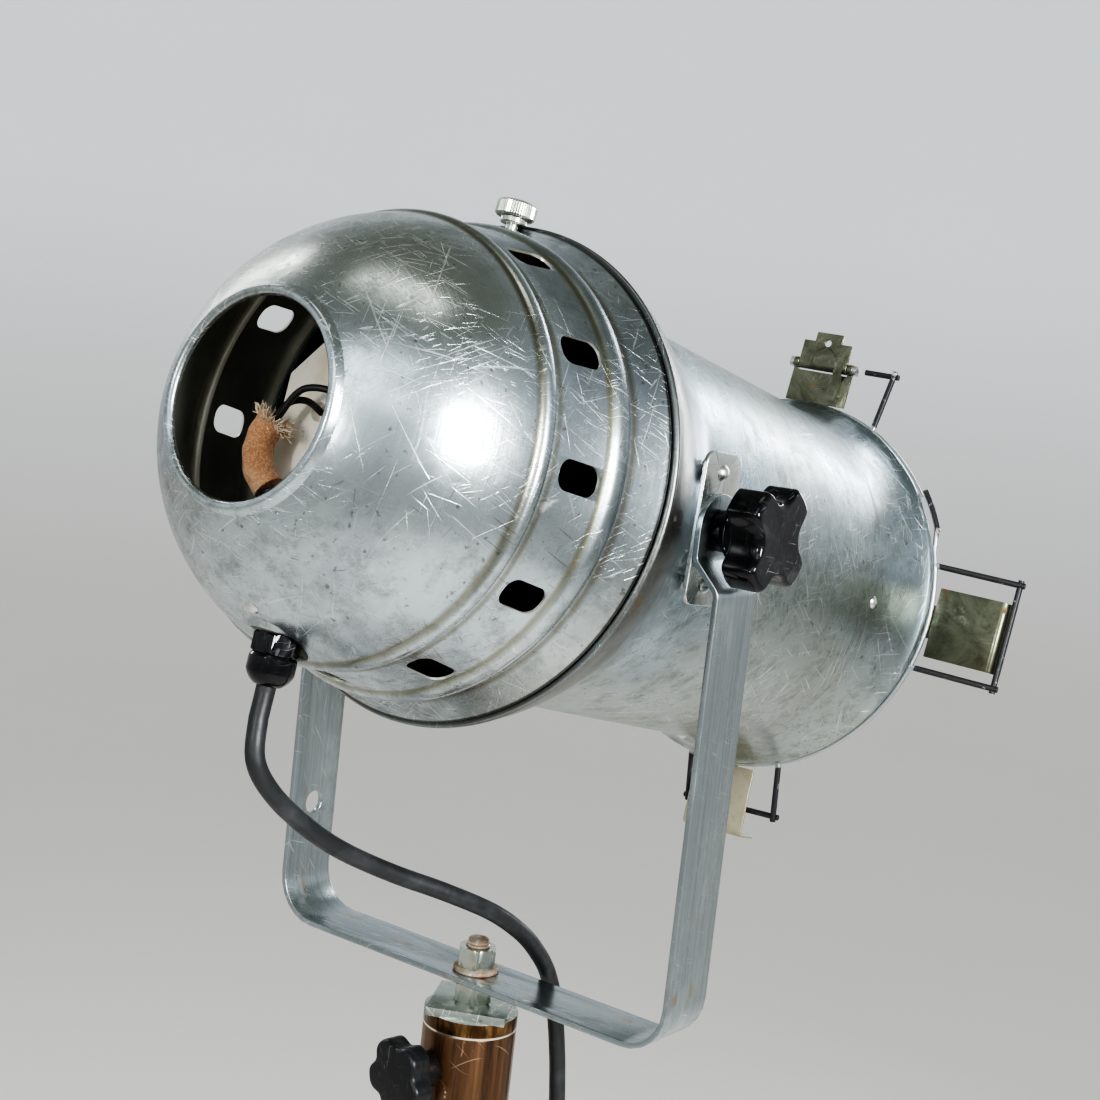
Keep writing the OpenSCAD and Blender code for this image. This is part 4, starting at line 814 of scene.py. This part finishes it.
def cut_slots(cap):
    """Takes the round-cornered slots out of the cap's band."""
    # x of the outline lies along the lamp, y round it
    outline = []
    for sx, sy, a0 in ((1, 1, 0), (-1, 1, 90), (-1, -1, 180), (1, -1, 270)):
        for a in np.radians(np.linspace(a0, a0 + 90, 9)):
            outline.append((sx * (SLOT_HALF_X - SLOT_CORNER) + SLOT_CORNER * math.cos(a),
                            sy * (SLOT_HALF_Y - SLOT_CORNER) + SLOT_CORNER * math.sin(a)))
    prisms = []
    for i in range(SLOTS):
        t = math.radians(180 + 360 / SLOTS * i)
        prisms.append(loft([[(r * math.cos(t) - y * math.sin(t), r * math.sin(t) + y * math.cos(t), SLOT_Z + x)
                             for x, y in outline] for r in (SLOT_INNER, SLOT_OUTER)]))
    cut(cap, *join(prisms), LAMP)


def make_cap():
    v, f = lathe(thick(CAP, SHEET), 288, loop=True)
    cap = add("cap_shell", v, f, LAMP, "cap", "cap", "spun_aluminium", ["rear_cap"], 30)
    cut_slots(cap)
    hole = moved(lathe([(0.01, 80), (SEAT_HOLE_R, 80), (SEAT_HOLE_R, 112), (0.01, 112)], 64),
                 Matrix.Translation((0, 0, -GLAND_BACK)) @ turned(90, "X"))
    cut(cap, *hole, LAMP)
    cap.data.shade_smooth()
    cap.data.set_sharp_from_angle(angle=math.radians(30))
    # faces that look inwards, but not those of the rolled hole
    second_material(cap, "inside", lambda c, n: (c.x * n.x + c.y * n.y + (c.z + 100) * n.z * 0.6) < 0
                    and math.hypot(c.x, c.y) > 50.5)

    # the seat is sunk in front and a little proud behind, and its soft edge lies just over the dome
    rings = []
    n = 96
    for r, share in SEAT:
        ring = []
        for k in range(n):
            t = 2 * math.pi * k / n
            x, z = r * math.cos(t), -GLAND_BACK + r * math.sin(t)
            dome = math.sqrt((DOME_R + 0.06) ** 2 - x * x - (z - DOME_Z) ** 2)
            ring.append((x, -(GLAND_FACE + (dome - GLAND_FACE) * share), z))
        rings.append(ring)
    seat = add("cap_seat", *loft(rings, caps=False), LAMP, "cap", "cap", "spun_aluminium", [], 60)
    # painted shade on the seat's middle and on its back part, round the gland
    second_material(seat, "seat_shade", lambda c, n: math.hypot(c.x, c.z + GLAND_BACK) < 13.0
                    or c.z > -GLAND_BACK + 4)


make_cap()


# ---------------------------------------------------------------- can
def neck_r(s):
    return 105 + 18.2 * (1 + math.cos(math.pi * (s + 58.5) / 66.5)) / 2


CAN = ([(112.6, -80), (112.6, -61.6), (113.2, -60.7), (122.6, -60.5)] + arc(123.2, -58.5, 1.8, -80, 60, 10)
       + [(neck_r(s), s) for s in np.linspace(-55.5, 8, 40)] + [(105, s) for s in np.linspace(20, 200, 10)]
       + arc(214, 205, 109, 180, 158.5, 14) + arc(112, 252, 4, -48, 150, 20))


def make_can():
    v, f = lathe(thick(CAN, SHEET), 288, loop=True)
    can = add("can_shell", v, f, LAMP, "head", "can", "spun_aluminium", ["can_body"], 30)
    second_material(can, "inside", lambda c, n: (c.x * n.x + c.y * n.y) < 0 and c.z > -58 and c.z < 247)


make_can()


# ---------------------------------------------------------------- knobs and small turned pieces
# points round a lobed knob
KNOB_POINTS = 240
# where the tilt knobs' hubs begin, from the lamp's axis
TILT_KNOB_FOOT = 116.8
TILT_HUB = [(5.2, 0), (9.4, 0), (10, 0.6), (10.4, 5), (12.2, 8), (15.0, 10.4), (16.2, 12.4), (16.6, 16.5)]
# the stand's knobs point this way: degrees round it from x
STAR_KNOB_TURN = 81
# name, height, where the screw's tip lies from the axis, the hub's foot from there, the hub's length, body
STAR_KNOBS = (("height", 846, 25.3, 18.3, 8, "height_clamp"),
              ("column", 1197.7, 23.25, 1.85, 14, "column_clamp"))
# M12 fitting on the plate
PAN_NUT_AF, PAN_NUT_H, PAN_NUT_BORE, PAN_NUT_TURN = 19, 10.8, 6.02, 9
PAN_NUTS_Z = (1230.7, 1249.5)
PAN_WASHERS_Z = (1241.5, 1247.0)
PAN_STUD_Z, PAN_THREAD_Z, PAN_THREAD_TOP, PAN_PITCH = 1213, 1229.0, 1263.4, 1.75
# the thumbscrew's place round and along the lamp, and its foot and its collar from the axis
THUMB_TURN, THUMB_Z, THUMB_FOOT, THUMB_SEAT = 92, -68, 112.9, 122.8
GLAND_AF, GLAND_TOP = 19.6, 104.4


def lobed(d, lobes, scallop, reach, soften):
    """Radii of a lobed knob: a circle with round bites of radius scallop, its corners softened."""
    t = np.linspace(0, 2 * np.pi, KNOB_POINTS, endpoint=False)
    r = np.full(KNOB_POINTS, d / 2)
    for i in range(lobes):
        b = reach * np.cos(t - 2 * np.pi * (i + 0.5) / lobes)
        disc = b * b - reach * reach + scallop * scallop
        near = b - np.sqrt(np.maximum(disc, 0))
        r = np.where((disc > 0) & (b > 0), np.minimum(r, near), r)
    k = np.exp(-0.5 * (np.arange(-15, 16) / (soften / 2)) ** 2)
    k /= k.sum()
    return np.convolve(np.concatenate([r[-15:], r, r[:15]]), k, "valid")


def knob_head(radii, z0, t, front=3.2, back=1.8, dish=0.6):
    """A moulded head t thick: round back edge, sides, rounder front edge and a dished or domed face."""
    rows = []
    for a in np.radians(np.linspace(90, 0, 6)):
        rows.append((radii - back * (1 - math.cos(a)), z0 + back * (1 - math.sin(a))))
    for a in np.radians(np.linspace(0, 90, 9)):
        rows.append((radii - front * (1 - math.cos(a)), z0 + t - front * (1 - math.sin(a))))
    for k in (0.9, 0.75, 0.5, 0.25, 0.04):
        rows.append(((radii - front) * k, z0 + t - dish * (1 - k) * 0.8))
    return stack(rows, KNOB_POINTS)


def make_tilt_knobs():
    radii = lobed(55, 4, 14.85, 32.7, 4)
    for name, side, body in (("near", -1, "near_knob"), ("far", 1, "far_knob")):
        # each head is turned on its own axis as the near one is in the photograph
        at = LAMP @ turned(side * 90, "Y") @ shifted(0, 0, TILT_KNOB_FOOT) @ turned(45 - 15 * side, "Z")
        shape = join([knob_head(radii, 16, 18), lathe(TILT_HUB, 72)])
        knob = add("tilt_grip_" + name, *shape, at, body, "gloss", "black_plastic", ["tilt_knob_" + name], 50)
        # the flat face is duller
        second_material(knob, "satin", lambda c, n: n.z > 0.97 and c.z > 30)


def make_star_knobs():
    radii = lobed(40, 5, 6.8, 22.4, 9)
    for name, z, tip, hub_at, hub_l, body in STAR_KNOBS:
        at = STAND @ shifted(0, 0, z) @ turned(STAR_KNOB_TURN, "Z") @ shifted(tip, 0, 0) @ turned(90, "Y")
        head = knob_head(radii, hub_at + hub_l, 12, 2.6, 1.2, -1.0)
        hub = lathe([(4.1, hub_at), (8.6, hub_at), (9.2, hub_at + 0.6), (9.6, hub_at + hub_l + 1)], 64)
        thread = [(4 - 0.35 * (i % 2), 0.7 + i * 0.6) for i in range(int(hub_at / 0.6) + 4)]
        screw = lathe([(0.05, 0), (3.4, 0), (4, 0.6)] + thread, 40)
        add(name + "_grip", *join([head, hub]), at, body, "satin", "satin_black", [name + "_knob"], 50)
        add(name + "_screw", *screw, at, body, "nut_zinc", "nut_zinc", [], 40)


def hex_radii(af, n=96):
    """Radii of a hexagon af across its flats."""
    t = np.linspace(0, 360, n, endpoint=False) % 60 - 30
    return af / 2 / np.cos(np.radians(t))


def nut(af, z0, h, bore, chamfer=1.1):
    """A hexagon nut with chamfered ends and a round bore."""
    r = hex_radii(af)
    low = np.minimum(r, af / 2 * 1.02)
    top = z0 + h
    return stack([(bore, z0), (low, z0), (r, z0 + chamfer), (r, top - chamfer), (low, top), (bore + 0.7, top),
                  (bore, top - 0.7)], loop=True)


def make_pan_fitting():
    nuts = [nut(PAN_NUT_AF, z, PAN_NUT_H, PAN_NUT_BORE) for z in PAN_NUTS_Z]
    nuts = moved(join(nuts), turned(PAN_NUT_TURN, "Z"))
    add("pan_nut_pair", *nuts, STAND, "yoke", "nut_zinc", "nut_zinc", ["pan_nuts"], 25)
    z = PAN_THREAD_Z
    thread = [(0.05, PAN_STUD_Z), (5.9, PAN_STUD_Z), (5.9, z)]
    while z < PAN_THREAD_TOP:
        thread += [(5.95, z), (5.25, z + PAN_PITCH / 2 - 0.005)]
        z += PAN_PITCH
    thread += [(5.6, 1264.0), (4.6, 1264.8), (0.05, 1264.9)]
    add("pan_thread", *lathe(thread, 64), STAND, "yoke", "rusty", "rusty", ["pan_stud"], 60)
    washers = [lathe([(6.5, z), (11.5, z), (12, z + 0.5), (12, z + 2.0), (11.4, z + 2.5), (6.5, z + 2.5)], 64,
                     loop=True) for z in PAN_WASHERS_Z]
    add("pan_washer_pair", *join(washers), STAND, "yoke", "rusty", "rusty", ["pan_washers"], 30)


def make_thumbscrew():
    """A knurled head with a recessed waist, on its collar and shank."""
    at = LAMP @ turned(THUMB_TURN, "Z") @ shifted(0, 0, THUMB_Z) @ turned(90, "Y")
    n = 240
    knurl = 10.0 - 0.42 * (np.abs((np.arange(n) % 5) - 2.0) / 2.0)
    foot, c = THUMB_FOOT, THUMB_SEAT
    rows = [(0.05, foot), (2.6, foot), (3, foot + 0.5), (3, c), (6.2, c), (6.6, c + 0.6), (6.6, c + 2.6),
            (6.2, c + 3.0), (9.0, c + 3.1), (knurl, c + 3.9), (knurl, c + 9.6), (9.0, c + 10.6),
            (8.2, c + 11.0), (7.6, c + 10.6), (0.05, c + 10.5)]
    add("cap_thumbscrew", *stack(rows, n, caps=False), at, "cap_screw", "nut_zinc", "nut_zinc",
        ["thumbscrew"], 28)


def make_gland():
    at = LAMP @ shifted(0, 0, -GLAND_BACK) @ turned(90, "X")
    # behind the seat, inside the cap
    add("gland_ring_nut", *nut(20, GLAND_FACE - SHEET - 4.3, 4, 8.02, 0.5), at, "cap", "nut_zinc", "nut_zinc",
        ["gland_locknut"], 30)
    r = hex_radii(GLAND_AF)
    low = np.minimum(r, GLAND_AF / 2 * 1.03)
    z, top = GLAND_FACE + 0.02, GLAND_TOP
    body = stack([(4.9, z - 10), (7.9, z - 10), (8, z), (low, z + 0.1), (r, z + 0.9), (r, top - 0.8),
                  (low, top), (4.9, top)], loop=True)
    add("gland_hexagon", *body, at, "cap", "gloss", "black_plastic", ["gland_body"], 30)
    # the domed nut bulges past the hexagon's flats, and the lead comes out of it
    end, side, crown, flat = 118.4, 11.0, 11.6, 6.0
    middle = end - math.sqrt(crown ** 2 - flat ** 2)
    dome = [(4.8, top + 0.05), (9.6, top + 0.05), (10.3, top + 0.4), (side, top + 1.6)]
    dome += [(x, middle + math.sqrt(crown ** 2 - x ** 2)) for x in (side, 10.6, 10.2, 9.6, 8.9, 8.1, 7.2, 6.4)]
    dome += [(5.9, end), (4.75, end - 0.3), (4.75, end - 6)]
    stub = [(0.05, end - 6), (4.5, end - 6), (4.5, GLAND_END + 0.1), (0.05, GLAND_END + 0.1)]
    piece = add("gland_dome", *join([lathe(dome, 96), lathe(stub, 96)]), at, "cap", "gloss", "black_plastic",
                ["gland_nut"], 30)
    second_material(piece, "rubber", lambda c, n: math.hypot(c.x, c.y) < 4.6)


make_tilt_knobs()
make_star_knobs()
make_pan_fitting()
make_thumbscrew()
make_gland()


# ---------------------------------------------------------------- inside the cap
HAIRS = 260
SLEEVE = [(17, -33, -164), (23, -27, -166), (26, -18, -167), (25, -9, -167), (22, -3, -166)]
INNER_CABLE = [(0, -90, -153), (0, -78, -153), (4, -60, -156), (11, -44, -161), (16.4, -34.1, -163.7)]
INNER_CORES = ([(23, -4, -166), (19, 6, -163), (13, 9, -158), (12, 6, -148)],
               [(21, -1, -165), (10, 13, -165), (-6, 14, -159), (-12, 6, -148)])


def shake(rnd, reach):
    return np.array([rnd.uniform(-reach, reach) for _ in range(3)])


def make_wiring():
    """The cable inside the cap with its woven sleeve, frayed at the end, and its two cores."""
    sleeve = spline(SLEEVE, 14)
    # the sleeve's radius: a slight wave, and wider at the frayed end
    wobble = [7 + 0.2 * math.sin(i * 0.5) + 0.09 * max(i - len(sleeve) + 12, 0) for i in range(len(sleeve))]
    add("sleeve_braid", *tube(sleeve, wobble, 40), LAMP, "cap", "sleeve", "sleeve", ["heat_sleeve"], 60)
    rnd = random.Random(4)
    hairs = []
    top = np.array(sleeve[-1])
    along = unit(np.array(sleeve[-1]) - np.array(sleeve[-3]))
    side = unit(np.cross(along, [0, 0, 1]))
    other = np.cross(along, side)
    for _ in range(HAIRS):
        a = rnd.uniform(0, 2 * math.pi)
        out = math.cos(a) * side + math.sin(a) * other
        p0 = top + out * rnd.uniform(4.5, 7.2) - along * rnd.uniform(0, 2.5)
        grow = unit(along * rnd.uniform(0.1, 1.0) + out * rnd.uniform(0.5, 1.5) + shake(rnd, 0.5))
        half = rnd.uniform(2.5, 6.5) * 0.5
        p1 = p0 + grow * half
        p2 = p1 + (grow + shake(rnd, 0.7)) * half
        hairs.append(tube(spline([p0, p1, p2], 3), [0.34, 0.32, 0.3, 0.28, 0.25, 0.2, 0.12], 5))
    add("sleeve_fray", *join(hairs), LAMP, "cap", "fray", "sleeve", [], 60)
    cores = [tube(spline(core, 8), 1.6, 14) for core in INNER_CORES]
    cable = tube(spline(INNER_CABLE, 8), LEAD_D / 2, 20)
    add("inner_cable", *join([cable] + cores), LAMP, "cap", "rubber", "rubber", ["inner_lead"], 60)


make_wiring()


# ---------------------------------------------------------------- the CAD's own pieces, softened and painted
# material, the width in mm that the edges are rounded by, and the nodes
LOOKS = (
    ("cast", 1.6, "hub_casting"), ("cast", 1.4, "clamp_collar"),
    ("cast", 1.2, "knuckle_front knuckle_left knuckle_right"),
    ("brown", 0.6, "lower_tube"), ("brown", 0.5, "leg_front leg_left leg_right"), ("brown", 0.4, "column_tube"),
    ("rubber", 0.8, "foot_front foot_left foot_right"), ("satin", 0.8, "tube_end_cap"),
    ("satin", 0.2, "coil_tie"), ("plate", 0.9, "top_plate"), ("zinc", 0.45, "yoke_strap"),
    ("glass", 0.4, "par_lamp"), ("bright", 0.5, "tilt_brackets"), ("bright", 0.3, "lamp_ring latch_pin"),
    ("bright", 0, "bracket_spacers bracket_screws clip_rivets cap_rivet"),
    ("nut_zinc", 0.5, "hub_screws pivot_bolts"), ("nut_zinc", 0.2, "tilt_studs thumb_nut"),
    ("nut_zinc", 0, "lamp_spring"), ("clip", 0.3, "clip_near clip_far latch_plate latch_flap"),
    ("clip", 0, "latch_spring"), ("clip_cream", 0.3, "clip_bottom"), ("wire", 0, "wire_guard"),
    ("porcelain", 1.2, "lampholder"), ("brass", 0.4, "plug_pins"))
EDGE_ANGLE = math.radians(34)


def dress(node, mat, edge):
    """Paints a CAD node and rounds its edges."""
    node.data.materials.clear()
    node.data.materials.append(MATS[mat])
    node.data.shade_smooth()
    node.modifiers.new("weld", "WELD").merge_threshold = 0.00001
    if edge:
        bevel = node.modifiers.new("edges", "BEVEL")
        bevel.width = edge * MM
        bevel.segments = 3
        bevel.limit_method = "ANGLE"
        bevel.angle_limit = EDGE_ANGLE
    node.modifiers.new("sharp", "EDGE_SPLIT").split_angle = EDGE_ANGLE


for look, width, names in LOOKS:
    for name in names.split():
        dress(NODES[name], look, width)


# ---------------------------------------------------------------- studio
# the floor runs out to FLOOR_R, curves up over SWEEP_R and goes on to WALL_TOP
FLOOR_R, SWEEP_R, WALL_TOP = 9000, 2500, 9000
# the sky's light: place from the bottom to the top, colour
SKY = ((0.0, (0.40, 0.38, 0.35)), (0.45, (0.58, 0.62, 0.66)), (0.85, (0.24, 0.25, 0.22)))
SKY_STRENGTH = 0.75
LIGHTS_AIM = Vector((0, 0.1, 1.45))
# soft boxes: name, azimuth from x and elevation in degrees, distance and size in metres, watts, colour
LIGHTS = (("window_side", 162, 15, 2.4, (0.62, 0.80), 75, (0.97, 0.99, 1.0)),
          ("window_back", 115, 36, 2.8, (1.8, 1.2), 11, (0.94, 0.99, 1.0)),
          ("overhead", 100, 80, 3.0, (1.8, 0.6), 6, (1.0, 1.0, 0.90)),
          ("hole_fill", 96, 13, 2.3, (0.3, 0.3), 11, (1.0, 0.99, 0.96)),
          ("front_strip", -94, 17, 2.6, (0.35, 1.6), 20, (0.95, 0.98, 1.0)),
          ("far_rim", -5, 30, 3.0, (0.4, 1.8), 16, (1.0, 0.98, 0.95)))


def make_sky():
    world = bpy.data.worlds.new("studio")
    bpy.context.scene.world = world
    world.use_nodes = True
    nodes, links = world.node_tree.nodes, world.node_tree.links
    split = nodes.new("ShaderNodeSeparateXYZ")
    links.new(nodes.new("ShaderNodeTexCoord").outputs["Generated"], split.inputs["Vector"])
    ramp = nodes.new("ShaderNodeValToRGB")
    stops = ramp.color_ramp.elements
    for i, (at, shade) in enumerate(SKY):
        # a new ramp comes with two stops
        stop = stops[i] if i < 2 else stops.new(at)
        stop.position = at
        stop.color = (*shade, 1)
    links.new(split.outputs["Z"], ramp.inputs["Fac"])
    back = nodes["Background"]
    links.new(ramp.outputs["Color"], back.inputs["Color"])
    back.inputs["Strength"].default_value = SKY_STRENGTH


def make_light(name, azimuth, elevation, distance, size, power, color):
    a, e = math.radians(azimuth), math.radians(elevation)
    data = bpy.data.lights.new(name, "AREA")
    data.shape = "RECTANGLE"
    data.size, data.size_y = size
    data.energy = power
    data.color = color
    o = bpy.data.objects.new(name, data)
    bpy.context.scene.collection.objects.link(o)
    outward = Vector((math.cos(a) * math.cos(e), math.sin(a) * math.cos(e), math.sin(e)))
    o.location = LIGHTS_AIM + distance * outward
    o.rotation_euler = (LIGHTS_AIM - o.location).to_track_quat("-Z", "Y").to_euler()


def make_studio():
    sweep = [(0.01, 0), (FLOOR_R, 0)] + arc(FLOOR_R, SWEEP_R, SWEEP_R, -90, 0, 14)
    sweep.append((FLOOR_R + SWEEP_R, WALL_TOP))
    floor = add("studio", *lathe(sweep, 96), Matrix.Identity(4), None, "floor", None, sharp=80)
    make_sky()
    for row in LIGHTS:
        make_light(*row)
    view = bpy.context.scene.view_settings
    view.view_transform = "AgX"
    view.look = "AgX - High Contrast"
    view.exposure = 0.25


make_studio()
